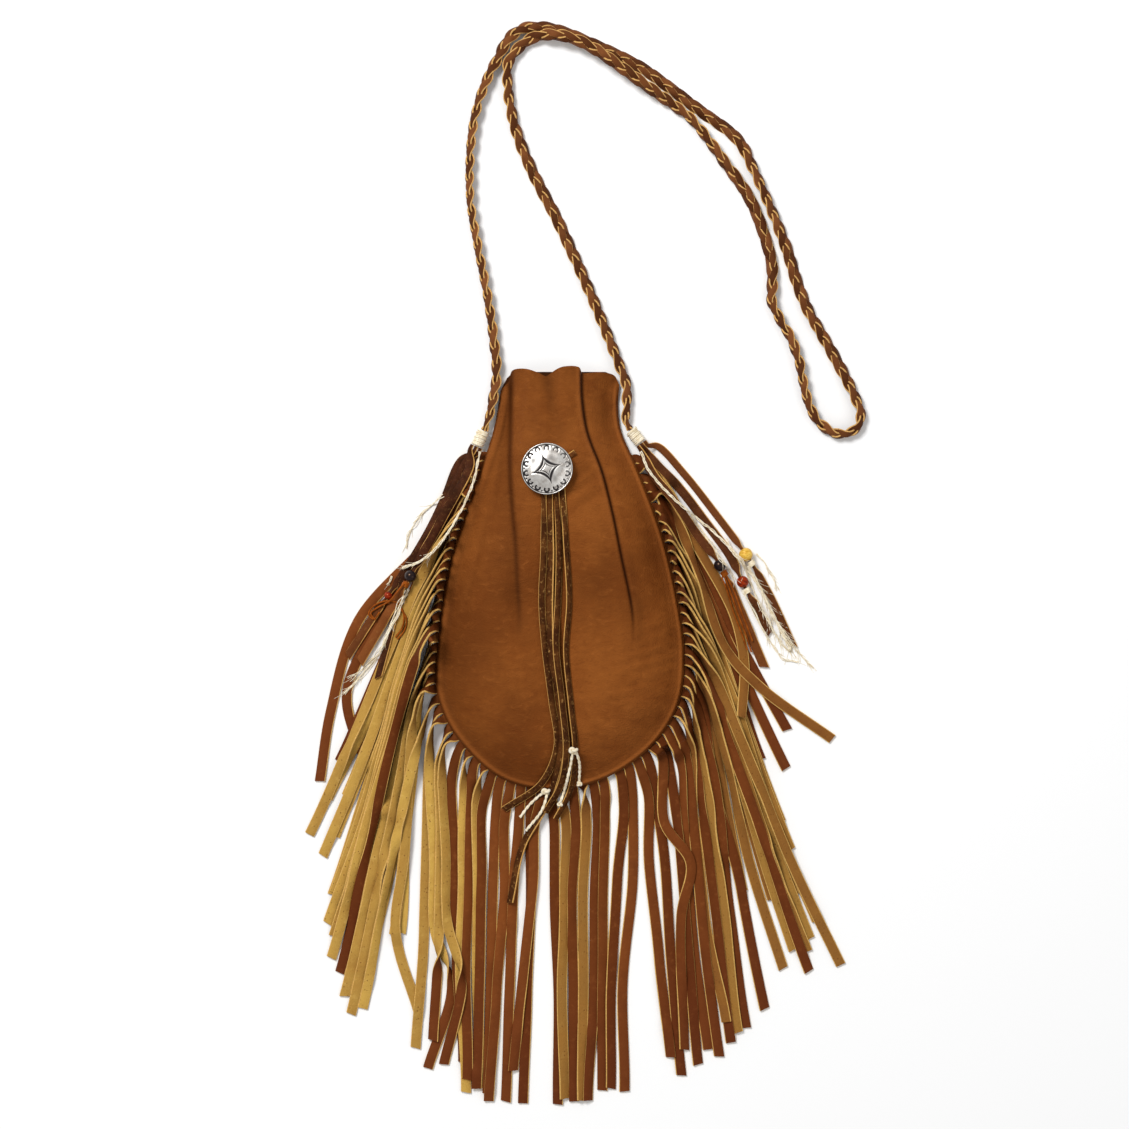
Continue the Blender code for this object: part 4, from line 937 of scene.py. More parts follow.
def fold_shares(shares):
    """Where the two folds cross each row, with their corners smoothed."""
    fine = np.linspace(0, 1, 201)
    left = blurred(np.interp(fine, FOLD_HEIGHTS, LEFT_FOLD), 8)
    right = blurred(np.interp(fine, FOLD_HEIGHTS, RIGHT_FOLD), 8)
    return np.interp(shares, fine, left), np.interp(shares, fine, right)


def mouth_edge():
    """The scallops of the front panel's mouth, with a notch between them."""
    points = [spot(*p) for p in MOUTH]
    edge = np.vstack((smooth_route(points[:6], 0.0004), smooth_route(points[5:], 0.0004)))
    edge[:, 0] = np.maximum.accumulate(edge[:, 0])
    return edge


def front_grid():
    """Rows of points over the front panel, with the share across and up of each."""
    shares = np.arange(1, PANEL_ROWS + 1) / PANEL_ROWS
    left, right = seam_sides(shares)
    left_fold, right_fold = fold_shares(shares)
    edge_run = np.linspace(0, 1, 26) ** 1.7
    edge = mouth_edge()
    rows = []
    for share, a, b, fl, fr in zip(shares, left, right, left_fold, right_fold):
        width = np.linalg.norm(b - a)
        run = min(0.0035 / width, 0.045)
        steps = np.linspace(-1, 1, 13)
        steps = np.sign(steps) * np.abs(steps) ** 1.5
        first = edge_run * (fl - run)
        middle = np.linspace(fl + run, fr - run, 34)[1:-1]
        last = 1 - (edge_run * (1 - fr - run))[::-1]
        columns = np.concatenate((first[:-1], fl + steps * run, middle, fr + steps * run, last[1:]))
        row = a + (b - a) * columns[:, None]
        x = left[-1][0] + (right[-1][0] - left[-1][0]) * columns
        straight = left[-1][1] + (right[-1][1] - left[-1][1]) * columns
        row[:, 1] += (np.interp(x, edge[:, 0], edge[:, 1]) - straight) * smooth_step((share - 0.86) / 0.14)
        rows.append(np.column_stack((row, columns)))
    return shares, np.array(rows), left_fold, right_fold


def sheet_faces(rows, cols):
    """Faces of a sheet, its upper side first, with a point at its bottom: 0 upper, 1 lower, 2 mouth edge."""
    faces, zones = [], []
    layer = rows * cols + 1
    for part, flip in ((0, False), (1, True)):
        start = part * layer
        top = start + rows * cols
        for i in range(cols - 1):
            face = (top, start + i + 1, start + i)
            faces.append(face if flip else face[::-1])
            zones.append(part)
        for r in range(rows - 1):
            for i in range(cols - 1):
                a, b = start + r * cols + i, start + (r + 1) * cols + i
                face = (a, a + 1, b + 1, b)
                faces.append(face[::-1] if flip else face)
                zones.append(part)
    rim_line = [rows * cols] + [r * cols + cols - 1 for r in range(rows)]
    rim_line += [(rows - 1) * cols + i for i in range(cols - 2, -1, -1)]
    rim_line += [r * cols for r in range(rows - 2, -1, -1)]
    for i, a in enumerate(rim_line):
        b = rim_line[(i + 1) % len(rim_line)]
        faces.append((a, a + layer, b + layer, b))
        zones.append(2 if rows <= i < rows + cols - 1 else 0)
    return faces, zones


def make_back_panel(finishes):
    """The panel that lies flat on the surface; it is a little wavy at its mouth."""
    shares = np.arange(1, PANEL_ROWS + 1) / PANEL_ROWS
    left, right = seam_sides(shares)
    columns = np.linspace(0, 1, 61)
    edge = np.array([spot(*p) for p in BACK_MOUTH])
    grid = left[:, None] + (right - left)[:, None] * columns[None, :, None]
    straight = left[-1][1] + (right[-1][1] - left[-1][1]) * columns
    near_mouth = smooth_step((shares[:, None] - 0.86) / 0.14)
    grid[..., 1] += (np.interp(grid[-1, :, 0], edge[:, 0], edge[:, 1]) - straight) * near_mouth
    inside = smooth_step((from_seam(grid) - SEAM_ALLOWANCE) / 0.02)
    lift = 0.0004 * inside * (0.5 + 0.5 * np.sin(columns * 23 + shares[:, None] * 4)) * near_mouth
    tip = at_lengths(SEAM_CURVE, [seam_length_at(*SEAM_BOTTOM)])[0]
    verts = []
    for level in (LEATHER, 0.0):
        verts.append(np.dstack((grid, lift + level)).reshape(-1, 3))
        verts.append(np.array([[*tip, level]]))
    faces, zones = sheet_faces(*grid.shape[:2])
    count = 2 * (grid.shape[0] * grid.shape[1] + 1)
    values = {"painted_shade": np.zeros(count), "worn": np.zeros(count)}
    return make_piece("back_panel_leather", np.vstack(verts), faces, finishes, zones, values, 50,
                      "back_panel")


def fade(distance, width):
    """1 at no distance, and softly down to 0 over the width on either side."""
    return np.exp(-(distance / width) ** 2)


def front_wrinkles(x, y):
    """Depth of the fine wrinkles: right of the concho, at the lower right and down the left side."""
    depth = 0.0
    for px, py, turn, length, deep in WRINKLES:
        cx, cy = spot(px, py)
        c, s = math.cos(math.radians(turn)), -math.sin(math.radians(turn))
        along = (x - cx) * c + (y - cy) * s
        across = -(x - cx) * s + (y - cy) * c
        depth = depth + deep * np.exp(-(along / length) ** 2 - (across / WRINKLE_WIDTH) ** 2)
    return depth


class FrontPlaces:
    """Where the front panel's points are: up it, across it, and from its seam, folds and dip."""

    def __init__(self):
        shares, self.grid, left_fold, right_fold = front_grid()
        self.columns = self.grid[..., 2]
        self.share = shares[:, None] * np.ones(self.grid.shape[1])
        self.from_seam = from_seam(self.grid[..., :2])
        width = np.linalg.norm(self.grid[:, -1, :2] - self.grid[:, 0, :2], axis=1)[:, None]
        self.from_left = (self.columns - left_fold[:, None]) * width
        self.from_right = (right_fold[:, None] - self.columns) * width
        self.grow = smooth_step((self.share - FOLD_START) / 0.35)
        self.valley = smooth_step((self.share - 0.44) / 0.12)
        dip = np.array([spot(*p) for p in CREASE])
        middle = np.interp(self.grid[..., 1], dip[::-1, 1], dip[::-1, 0])
        self.from_dip = (self.grid[..., 0] - middle) / DIP_WIDTH
        self.wrinkles = front_wrinkles(self.grid[..., 0], self.grid[..., 1])


def front_under(at):
    """Height of the front panel's lower side."""
    reach = np.clip((at.from_seam - SEAM_ALLOWANCE * 0.5) / SHOULDER, 0, 1)
    band_top = 1 - seam_length_at(*LEFT_RUN[0]) / seam_length_at(*SEAM_BOTTOM)
    rim = RIM - (RIM - BAND_LOW) * smooth_step((at.share - band_top) / 0.05)
    under = rim + POUCH_DEPTH * (1 - (1 - reach) ** 2)
    # the middle is raised: its left side rolls over softly, and its right side is a sharp fold
    raised = smooth_step(at.from_left / SOFT_FOLD + 0.5) * smooth_step(at.from_right / SHARP_FOLD + 0.5)
    under = under + PLEAT_STEP * raised * at.grow
    under = under - 0.0009 * fade(at.from_right + 0.0008, 0.0016) * at.valley
    under = under - 0.0010 * fade(at.from_left + 0.0015, 0.0045) * at.valley
    for x, y, deep, wide in DIMPLES:
        away = np.linalg.norm(at.grid[..., :2] - np.array(spot(x, y)), axis=-1)
        under = under - deep * fade(away, wide)
    under = under - MOUTH_DIP * fade(at.from_dip, 1) * smooth_step((at.share - 0.80) / 0.2)
    # soft gathers run down from the mouth
    wave = np.sin(at.columns * 44 + at.share * 3) * 0.5 + np.sin(at.columns * 71 - at.share * 5 + 1.3) * 0.3
    gathered = smooth_step((at.share - 0.72) / 0.28)
    under = under + GATHER_DEPTH * wave * gathered * smooth_step(at.from_seam / 0.01)
    return under - 1.5 * at.wrinkles


def front_thickness(at):
    """Thickness of the front panel, which bulges where its seam edge is turned in."""
    turned = smooth_step(at.from_seam / 0.0016) * 1.5 - 0.5
    turned = turned - smooth_step((at.from_seam - SEAM_ALLOWANCE * 0.55) / 0.0030)
    turned = turned * (1 - smooth_step((at.share - 0.965) / 0.03))
    return LEATHER * (1 + turned)


def front_tones(at):
    """Shares of painted shade in the folds, wrinkles, dip, seam and left side, and of paler, worn leather on
    the ridges.
    """
    # painted shade beside both folds
    painted_shade = fade(at.from_right + 0.0003, 0.0010) * at.valley * 0.95
    painted_shade += 0.55 * fade(at.from_left + 0.0004, 0.0016) * at.valley
    painted_shade += 0.16 * fade(at.from_left + 0.0040, 0.0060) * at.valley
    # painted shade: the hollow where the right fold runs out is darker, and so is the left side of the pouch
    hollow = smooth_step((at.share - 0.43) / 0.06) * (1 - smooth_step((at.share - 0.56) / 0.12))
    painted_shade += 0.26 * fade(at.from_right + 0.0036, 0.0030) * (at.from_right < 0.0006) * hollow
    # painted shade in the wrinkles and in the dip below the mouth's notch
    painted_shade += at.wrinkles * 230
    painted_shade += 0.13 * smooth_step((0.30 - at.columns) / 0.30) * (1 - smooth_step((at.share - 0.62) / 0.15))
    painted_shade += 0.45 * np.exp(-(at.from_dip * 1.8) ** 2) * smooth_step((at.share - 0.86) / 0.14)
    # painted shade along the seam: at the turned edge and at the line where it ends
    painted_shade += 0.55 * fade(at.from_seam, 0.0008)
    painted_shade += 0.18 * fade(at.from_seam - 0.0052, 0.0012)
    worn = fade(at.from_seam - 0.0022, 0.0014) * 0.6
    worn = worn + 0.5 * fade(at.from_right - 0.0018, 0.0012) * at.grow
    return painted_shade, worn


def cover_sheet(grid):
    """Mark a sheet's upper side in the heights, more closely than its points lie."""
    for i in np.linspace(0, 1, 8, endpoint=False):
        across = grid[:-1] + (grid[1:] - grid[:-1]) * i
        for j in np.linspace(0, 1, 6):
            spread = across[:, :-1] + (across[:, 1:] - across[:, :-1]) * j
            HEIGHTS.cover(spread[..., 0], spread[..., 1], spread[..., 2])


def make_front_panel(finishes):
    """The gathered panel, from the turned edge at its seam to the scallops of its mouth."""
    at = FrontPlaces()
    under = front_under(at)
    upper = under + front_thickness(at)
    # shares of painted shade and of paler, worn leather
    painted_shade, worn = front_tones(at)
    tip = at_lengths(SEAM_CURVE, [seam_length_at(*SEAM_BOTTOM)])[0]
    verts, painted_shades, worns = [], [], []
    for level, tip_height in ((upper, RIM + LEATHER * 0.5), (under, RIM)):
        verts.append(np.dstack((at.grid[..., :2], level)).reshape(-1, 3))
        verts.append(np.array([[*tip, tip_height]]))
        painted_shades.append(np.clip(np.append(painted_shade.ravel(), 0.5), 0, 1))
        worns.append(np.clip(np.append(worn.ravel(), 0.0), 0, 1))
    faces, zones = sheet_faces(*at.grid.shape[:2])
    values = {"painted_shade": np.concatenate(painted_shades), "worn": np.concatenate(worns)}
    panel = make_piece("front_panel_leather", np.vstack(verts), faces, finishes, zones, values, 50,
                       "front_panel")
    cover_sheet(np.dstack((at.grid[..., :2], upper)))
    return panel


# Fringe

def strip_route(root, outward, tip, by_way, seed):
    """A strip's course over the floor: out of the seam, round its bend and on to its tip."""
    reach = STRIP_LENGTH / (DRAWN_STRIP * POUCH_HEIGHT / DRAWN_HEIGHT)
    tip = root + (np.array(spot(*tip)) - root) * reach
    if by_way:
        middle = [root + (np.array(spot(*p)) - root) * reach for p in by_way]
        return smooth_route([root, root + outward * TURN_REACH * 0.6, *middle, tip], 0.0005)
    bend = root + outward * TURN_REACH
    late = tip - (tip - root) * 0.45
    t = np.linspace(0, 1, 241)[:, None]
    curve = (1 - t) ** 3 * root + 3 * t * (1 - t) ** 2 * bend + 3 * t ** 2 * (1 - t) * late + t ** 3 * tip
    heading = headings(curve)
    side = sideways(heading, 1)
    sway = wander(241, 70, 0.0012, seed) * smooth_step(t[:, 0] / 0.3)
    return curve + side * sway[:, None]


def strip_roll(along, finish_side, bend, seed):
    """Roll of a strip: the edge on the inside of its bend lifts, more where the bend is sharp."""
    drift = wander(len(along), 30, 0.20, seed + 500) * smooth_step((along - 0.03) / 0.04)
    lengths = np.array(ROLL_LENGTHS) * (0.35 + 0.65 * smooth_step((bend - 0.4) / 1.1))
    if finish_side == GRAIN:
        lifted = np.radians(np.interp(along, lengths, GRAIN_DEGREES))
        return drift - lifted * (0.05 + 1.0 * smooth_step((bend - 0.30) / 0.9))
    roll = -np.radians(np.interp(along, lengths, FLESH_DEGREES))
    if finish_side == TURNED:
        start, end = TURN_OVER
        roll = roll - math.pi * smooth_step((along / along[-1] - start) / (end - start))
    return roll + drift


def make_fringe(name, run, tips, by_way, on_top, hand, from_end, finishes, node):
    """The strips of one band, each laid on those before it."""
    start, end = (seam_length_at(*p) for p in run)
    count = max(2, int(round((end - start) / (STRIP_WIDTH + CUT))))
    pitch = (end - start) / count
    places = np.linspace(0, len(tips) - 1, count)
    order = sorted(range(count), reverse=from_end)
    last = [k for k in order if int(round(places[k])) in on_top]
    ribbons, tones, near, far = [], [], [], []
    rng = np.random.default_rng(11 if hand > 0 else 12)
    for k in [k for k in order if k not in last] + last:
        index = int(round(places[k]))
        tip = tips[index]
        point, outward = on_seam(start + pitch * (k + 0.5))
        inner = point - outward * 0.003
        seed = 1000 * (2 + hand) + k
        route = strip_route(point + outward * BAND_PROUD, outward, tip[:2], by_way.get(index), seed)
        route = np.vstack((inner, route))
        length = lengths_along(route)[-1]
        beyond = np.linspace(0.03, length, math.ceil(length / 0.0018))
        along = np.concatenate((np.arange(0, 0.03, 0.0008), beyond))
        route = at_lengths(route, along)
        width = np.full(len(along), STRIP_WIDTH)
        toward = unit(np.array(spot(*tip[:2])) - point)
        bend = math.acos(float(np.clip(toward @ outward, -1, 1)))
        turn = strip_roll(np.maximum(along - 0.0030, 0), tip[2], bend, seed)
        roll, height, side = lie(route, hand, width, turn, STRIP_LEATHER, across=STRIP_ACROSS)
        hold = smooth_step((along - 0.0025) / 0.003)
        height = height * hold + (BAND_LOW + STRIP_LEATHER / 2) * (1 - hold)
        roll = roll * smooth_step((along - 0.002) / 0.002)
        centres = np.column_stack((route, height))
        across, normal = frame_of(side, roll)
        shown = STRIP_WIDTH + STRIP_SPREAD * smooth_step((along - 0.004) / 0.01)
        ribbons.append(ribbon(centres, across, normal, shown, STRIP_LEATHER,
                              rng.uniform(-0.0003, 0.0003), rng.uniform(-0.0012, 0.0012)))
        tones.append(strip_tone(hand, tip[2], k / count, rng))
        # painted shade: each strip darkens over its first few centimetres from the seam
        shaded = 1 - smooth_step((along - 0.010) / (0.030 + 0.012 * rng.random()))
        near.append(np.repeat(shaded, RIBBON))
        far.append(np.repeat(smooth_step((along / length - 0.5) / 0.45), RIBBON))
        cover_ribbon(centres, across, normal, STRIP_WIDTH, STRIP_LEATHER)
    points = np.vstack([rings.reshape(-1, 3) for rings in ribbons])
    # painted shade: how far each point lies below the surfaces around it
    pile_shade = np.clip((HEIGHTS.around(points[:, 0], points[:, 1]) - points[:, 2]) / 0.0042, 0, 1)
    values = {"root_shade": np.concatenate(near), "near_tip": np.concatenate(far), "pile_shade": pile_shade}
    return make_ribbons(name, ribbons, tones, finishes, node, values=values)


def strip_tone(hand, finish_side, share, rng):
    """Left strips show golden suede, those at the bottom and on the right a browner one."""
    if finish_side == GRAIN:
        return rng.uniform(0.0, 1.0)
    if hand < 0:
        return rng.uniform(0.0, 0.32)
    return rng.uniform(0.35, 1.0) * (1 - 0.75 * smooth_step((share - 0.74) / 0.14))


# Thongs, beads and thread

def thong(route, width, roll, bead=None, start_height=None, tilting=0.6, gap=0.0002):
    """Course of a thong that lies on what is under it; it is drawn in where a bead sits on it."""
    fine = smooth_route(route, 0.0012)
    along = lengths_along(fine)
    widths = np.full(len(along), width) if np.isscalar(width) else np.interp(along / along[-1], *width)
    if start_height:
        widths = THONG_IN_BINDING + (width - THONG_IN_BINDING) * smooth_step(along / 0.012)
    least, run = 0.0, None
    if bead:
        place, diameter, wrap = bead
        middle = along[np.argmin(np.linalg.norm(fine - np.array(place), axis=1))]
        start, end = middle - diameter * 0.6, middle + diameter * 0.6 + wrap
        away = np.maximum(start - along, along - end)
        widths = np.minimum(widths, THONG_IN_BEAD + (width - THONG_IN_BEAD) * smooth_step(away / 0.006))
        least = rest_round(place, diameter / 2) * (1 - smooth_step(away / 0.012))
    turn = np.full(len(along), roll) if np.isscalar(roll) else np.interp(along / along[-1], *roll)
    rolls, height, side = lie(fine, 1, widths, turn, THONG_LEATHER, least, gap, tilting)
    if bead:
        inside = away < 0.0005
        height[inside] = height[inside].max()
        height = blurred(height, 1)
        flat = 1 - smooth_step(away / 0.006)
        rolls = rolls * (1 - flat)
    if start_height:
        begin = 1 - smooth_step(along / 0.010)
        height = np.maximum(height, start_height * begin)
    centres = np.column_stack((fine, height))
    across, normal = frame_of(side, rolls)
    if bead:
        first, last = (int(np.argmin(np.abs(along - s))) for s in (start, end))
        run = (centres[first], centres[last])
    cover_ribbon(centres, across, normal, widths, THONG_LEATHER)
    return centres, across, normal, widths, run


def rest_round(place, radius):
    """Height of the middle of a ball that rests on what is under it."""
    angles = np.linspace(0, 2 * math.pi, 16, endpoint=False)
    highest = -1.0
    for share in (0.0, 0.4, 0.7, 0.95):
        x = place[0] + radius * share * np.cos(angles)
        y = place[1] + radius * share * np.sin(angles)
        under = HEIGHTS.under(x, y) + radius * math.sqrt(1 - share ** 2)
        highest = max(highest, under.max())
    return highest


def make_bead(name, centre, axis, diameter, finish):
    radius = diameter / 2
    bore = math.hypot(THONG_IN_BEAD, THONG_LEATHER) / 2 + 0.0001
    half = math.sqrt(radius ** 2 - (bore + 0.0002) ** 2)
    heights = half * np.sin(np.linspace(-math.pi / 2, math.pi / 2, 15))
    profile = [(math.sqrt(radius ** 2 - h ** 2), h) for h in heights]
    rounded, start = 0.0001, 0.0004    # of the bore's two ends
    profile += [(bore + rounded, half - rounded), (bore, half - start), (bore, -half + start),
                (bore + rounded, -half + rounded)]
    verts, faces = lathe(profile, 32)
    make_piece(name + "_turned", aimed(verts, centre, axis), faces, [finish], replaces=name)
    cover_ball(centre, radius)


def cover_ball(centre, radius):
    angles = np.linspace(0, 2 * math.pi, 80)
    for share in np.linspace(0, 1, 24):
        x = centre[0] + radius * share * np.cos(angles)
        y = centre[1] + radius * share * np.sin(angles)
        HEIGHTS.cover(x, y, np.full(80, centre[2] + radius * math.sqrt(1 - share ** 2)))


def coil(length, radius, turns, thread, wobble, seed):
    """A thread's turns about Z, from 0 to length."""
    count = int(turns * 20)
    angles = np.linspace(0, turns * 2 * math.pi, count)
    away = radius + wander(count, 9, wobble, seed)
    rise = np.linspace(thread, length - thread, count) + wander(count, 11, wobble, seed + 1)
    points = np.stack((away * np.cos(angles), away * np.sin(angles), rise), axis=1)
    return tube(points, thread, 6)


def make_wrap(name, centre, axis, length, finish, seed):
    """Turns of lace or thread round a thong."""
    bore = math.hypot(THONG_IN_BEAD, THONG_LEATHER) / 2 + 0.0001
    thread = 0.00042
    verts, faces = coil(length, bore + thread, length / (thread * 1.9), thread, 0.00008, seed)
    verts = verts - np.array((0, 0, length / 2))
    make_piece(name + "_wound", aimed(verts, centre, axis), faces, [finish], replaces=name)
    cover_ball(centre, bore + 2 * thread)


def make_binding(name, ends, finish, seed):
    """Thread wound round the strap's end and the tassel's thongs."""
    a, b = (np.array((*spot(*p), BINDING_RADIUS + 0.00005)) for p in ends)
    length = np.linalg.norm(b - a)
    thread, round_it = 0.00052, BINDING_RADIUS * 0.88
    parts = [coil(length, round_it - thread, length / (thread * 2.1), thread, 0.00010, seed)]
    outer = thread * 0.7
    parts.append(coil(length, round_it - thread * 0.6, length / (thread * 7), outer, 0.00025, seed + 7))
    core = np.array(((0, 0, 0.0004), (0, 0, length - 0.0004)))
    angles = 2 * math.pi * np.arange(20) / 20
    within = round_it - thread * 1.5
    rings = [np.stack((np.cos(angles) * within, np.sin(angles) * within, np.full(20, z)), axis=1)
             for z in core[:, 2]]
    faces = [(k, (k + 1) % 20, 20 + (k + 1) % 20, 20 + k) for k in range(20)]
    faces += [tuple(reversed(range(20))), tuple(range(20, 40))]
    parts.append((np.vstack(rings), faces))
    verts, faces = join_parts(parts)
    make_piece(name + "_wound", aimed(verts, a, b - a), faces, [finish], replaces=name)
    for share in np.linspace(0, 1, 20):
        cover_ball(a + (b - a) * share, BINDING_RADIUS)


def rest_thread(route, radius, step=0.0012, lift=0.0):
    """A course for a thread that rests on what is under it."""
    fine = smooth_route(route, step)
    side = sideways(headings(fine), 1)
    heights = []
    for shift in (-1.0, -0.5, 0.0, 0.5, 1.0):
        x = fine[:, 0] + side[:, 0] * radius * shift
        y = fine[:, 1] + side[:, 1] * radius * shift
        heights.append(HEIGHTS.under(x, y) + radius + lift)
    height = blurred(widened(np.max(heights, axis=0), 2), 2)
    return np.column_stack((fine, height))


def make_sinew(name, route, finish, seed, fray):
    """A few twisted fibres, with a tuft of finer ones at the end."""
    core = rest_thread([spot(*p) for p in route], SINEW / 2)
    along = lengths_along(core)
    side = np.column_stack((sideways(headings(core[:, :2]), 1), np.zeros(len(core))))
    parts = []
    for k in range(3):
        angle = along * 420 + k * 2.1 + wander(len(core), 14, 0.5, seed + k)
        spread = 0.00038 + np.abs(wander(len(core), 18, 0.0002, seed + 30 + k))
        points = core + side * (np.cos(angle) * spread)[:, None]
        points[:, 2] += np.sin(angle) * spread * 0.7 + 0.0001
        parts.append(tube(points, 0.00030 + wander(len(core), 12, 0.00004, seed + 60 + k), 6))
    verts, faces = join_parts(parts)
    thread = make_piece(name + "_fibres", verts, faces, [finish], replaces=name)
    for points, _ in parts:
        HEIGHTS.cover(points[:, 0], points[:, 1], points[:, 2])
    tuft = make_fray(name + "_frayed_end", core, fray, finish, seed + 200)


def make_strands(names, routes, finish, seed):
    """Loose strands of a few fine fibres each, which fray all along."""
    for number, (name, route) in enumerate(zip(names, routes)):
        core = rest_thread([spot(*p) for p in route], 0.0003)
        side = sideways(headings(core[:, :2]), 1)
        parts = []
        for n in range(3):
            course = core.copy()
            shift = wander(len(core), 7, 0.0006, seed + 10 * number + n)
            course[:, :2] += side * shift[:, None]
            course[:, 2] += 0.0001 + 0.0002 * n
            parts.append(tube(course, np.linspace(0.00026, 0.00016, len(core)), 5))
        verts, faces = join_parts(parts)
        strand = make_piece(name, verts, faces, [finish])
        length = float(lengths_along(core)[-1])
        wisps = make_fray(name + "_wisps", core, (int(length * 340), 0.009, 0.5), finish, seed + 10 * number)


def make_fray(name, core, fray, finish, seed):
    """Fine fibres that come off a thread here and there, most of them towards its end."""
    count, length, spread = fray
    rng = np.random.default_rng(seed)
    parts = []
    ahead = headings(core[:, :2])
    for _ in range(count):
        i = int((len(core) - 3) * (1 - abs(rng.normal(0, spread))) % (len(core) - 3)) + 1
        turn = rng.normal(0, 0.16)
        heading = np.array((ahead[i][0] * math.cos(turn) - ahead[i][1] * math.sin(turn),
                            ahead[i][0] * math.sin(turn) + ahead[i][1] * math.cos(turn)))
        bend = np.array((-heading[1], heading[0])) * rng.normal(0, 0.2)
        reach = length * rng.uniform(0.4, 1.0)
        t = np.linspace(0, 1, 14)[:, None]
        flat = core[i, :2] + heading * reach * t + bend * reach * t ** 2
        height = HEIGHTS.under(flat[:, 0], flat[:, 1]) + 0.0002
        height = np.maximum(blurred(height, 2), HEIGHTS.under(flat[:, 0], flat[:, 1]) + 0.0001)
        height[0] = core[i, 2]
        radius = np.linspace(0.00016, 0.00007, 14)
        parts.append(tube(np.column_stack((flat, blurred(height, 1))), radius, 4))
    verts, faces = join_parts(parts)
    return make_piece(name, verts, faces, [finish])


def make_tie(name, route, knots, finish, seed):
    """Thread knotted round a thong, with its tails and their end knots."""
    core = rest_thread([spot(*p) for p in route], 0.0005)
    parts = []
    along = lengths_along(core)
    side = np.column_stack((sideways(headings(core[:, :2]), 1), np.zeros(len(core))))
    for k in range(2):
        angle = along * 900 + k * math.pi
        points = core + side * (np.cos(angle) * 0.00032)[:, None]
        points[:, 2] += np.sin(angle) * 0.0003 + 0.0002
        parts.append(tube(points, 0.00056, 6))
    rng = np.random.default_rng(seed)
    for n, knot in enumerate(knots):
        size = 0.0021 if n == 0 else 0.0013
        i = int(np.argmin(np.linalg.norm(core[:, :2] - np.array(spot(*knot)), axis=1)))
        centre = core[i] + np.array((0, 0, size * 0.4))
        t = np.linspace(0, 2 * math.pi, 90)
        loops = (np.sin(t) + 2 * np.sin(2 * t), np.cos(t) - 2 * np.cos(2 * t), -np.sin(3 * t))
        shape = np.stack(loops, axis=1) / 3
        over, about = (Matrix.Rotation(rng.uniform(0, 3), 3, axis) for axis in "XZ")
        turn = np.array(over @ about)
        parts.append(tube(centre + shape @ turn.T * size, size * 0.42, 8))
        HEIGHTS.cover(*(centre + shape * size).T)
    verts, faces = join_parts(parts)
    make_piece(name + "_knotted", verts, faces, [finish], replaces=name)


def make_laces(names, routes, finish, replaces=None):
    """Thin round laces; the first takes the place of the CAD's."""
    radius = 0.00050
    for name, route in zip(names, routes):
        core = rest_thread([spot(*p) for p in route], radius)
        verts, faces = tube(core, radius, 8)
        lace = make_piece(name, verts, faces, [finish], replaces=replaces)
        HEIGHTS.cover(verts[:, 0], verts[:, 1], verts[:, 2])
        replaces = None


def make_tassel(side, binding, thongs, looks, finishes, bead_finishes, seed):
    a, b = (np.array(spot(*p)) for p in binding)
    out = unit(b - a)
    across = np.array((-out[1], out[0]))
    for k, ((route, beads), (share, upper, lower)) in enumerate(zip(thongs, looks)):
        start = b + out * CLEARANCE + across * (1 - k) * (THONG_IN_BINDING + CLEARANCE)
        points = [start, start + out * 0.003, *[spot(*p) for p in route]]
        bead = None
        if beads:
            place, bead_name, diameter, colour, wrap_name, wrap_colour = beads
            bead = (spot(*place), diameter, WRAP_LENGTH + CLEARANCE if wrap_name else 0.0)
        width = TASSEL_THONG_WIDTH * share
        centres, wide, normal, widths, run = thong(points, width, 0.0, bead, BINDING_RADIUS)
        name = f"{side}_thong_{k + 1}"
        rings = ribbon(centres, wide, normal, widths, THONG_LEATHER, 0.0003, 0.0025 * (1 if k % 2 else -1))
        low = spot(0, beads[0][1] if beads else route[-1][1])[1]
        tone = upper + (lower - upper) * smooth_step((low - centres[:, 1]) / 0.006)
        make_ribbons(name + "_leather", [rings], [tone], finishes, name)
        if beads:
            axis = unit(run[1] - run[0])
            make_bead(bead_name, run[0] + axis * diameter * 0.6, axis, diameter, bead_finishes[colour])
            if wrap_name:
                centre = run[0] + axis * (diameter * 1.1 + CLEARANCE + WRAP_LENGTH / 2)
                make_wrap(wrap_name, centre, axis, WRAP_LENGTH, bead_finishes[wrap_colour], seed + k)


# Concho

def make_concho_thongs(finishes):
    """The four thongs that hang from the concho, flat and narrow under it, and the stub beside it."""
    for k, route in enumerate(CONCHO_THONGS):
        turn = math.radians(CONCHO_THONG_ROLLS[k])
        rolls = ((0, 0.05, 0.14, 1), (0, 0, turn, turn))
        width = ((0, 0.07, 0.16, 1), [CONCHO_THONG_WIDTH * share for share in (0.72, 0.72, 1, 1)])
        points = [spot(*p) for p in route]
        centres, across, normal, widths, _ = thong(points, width, rolls, tilting=0.0, gap=0.0001)
        rings = ribbon(centres, across, normal, widths, THONG_LEATHER, 0.0002, 0.001)
        name = f"concho_thong_{k + 1}"
        make_ribbons(name + "_leather", [rings], [0.0], finishes, name)
    points = [spot(*p) for p in STUB_ROUTE]
    centres, across, normal, widths, _ = thong(points, CONCHO_THONG_WIDTH * STUB_SHARE, 0.0)
    rings = ribbon(centres, across, normal, widths, THONG_LEATHER)
    make_ribbons("concho_stub_leather", [rings], [0.3], finishes, "concho_stub")


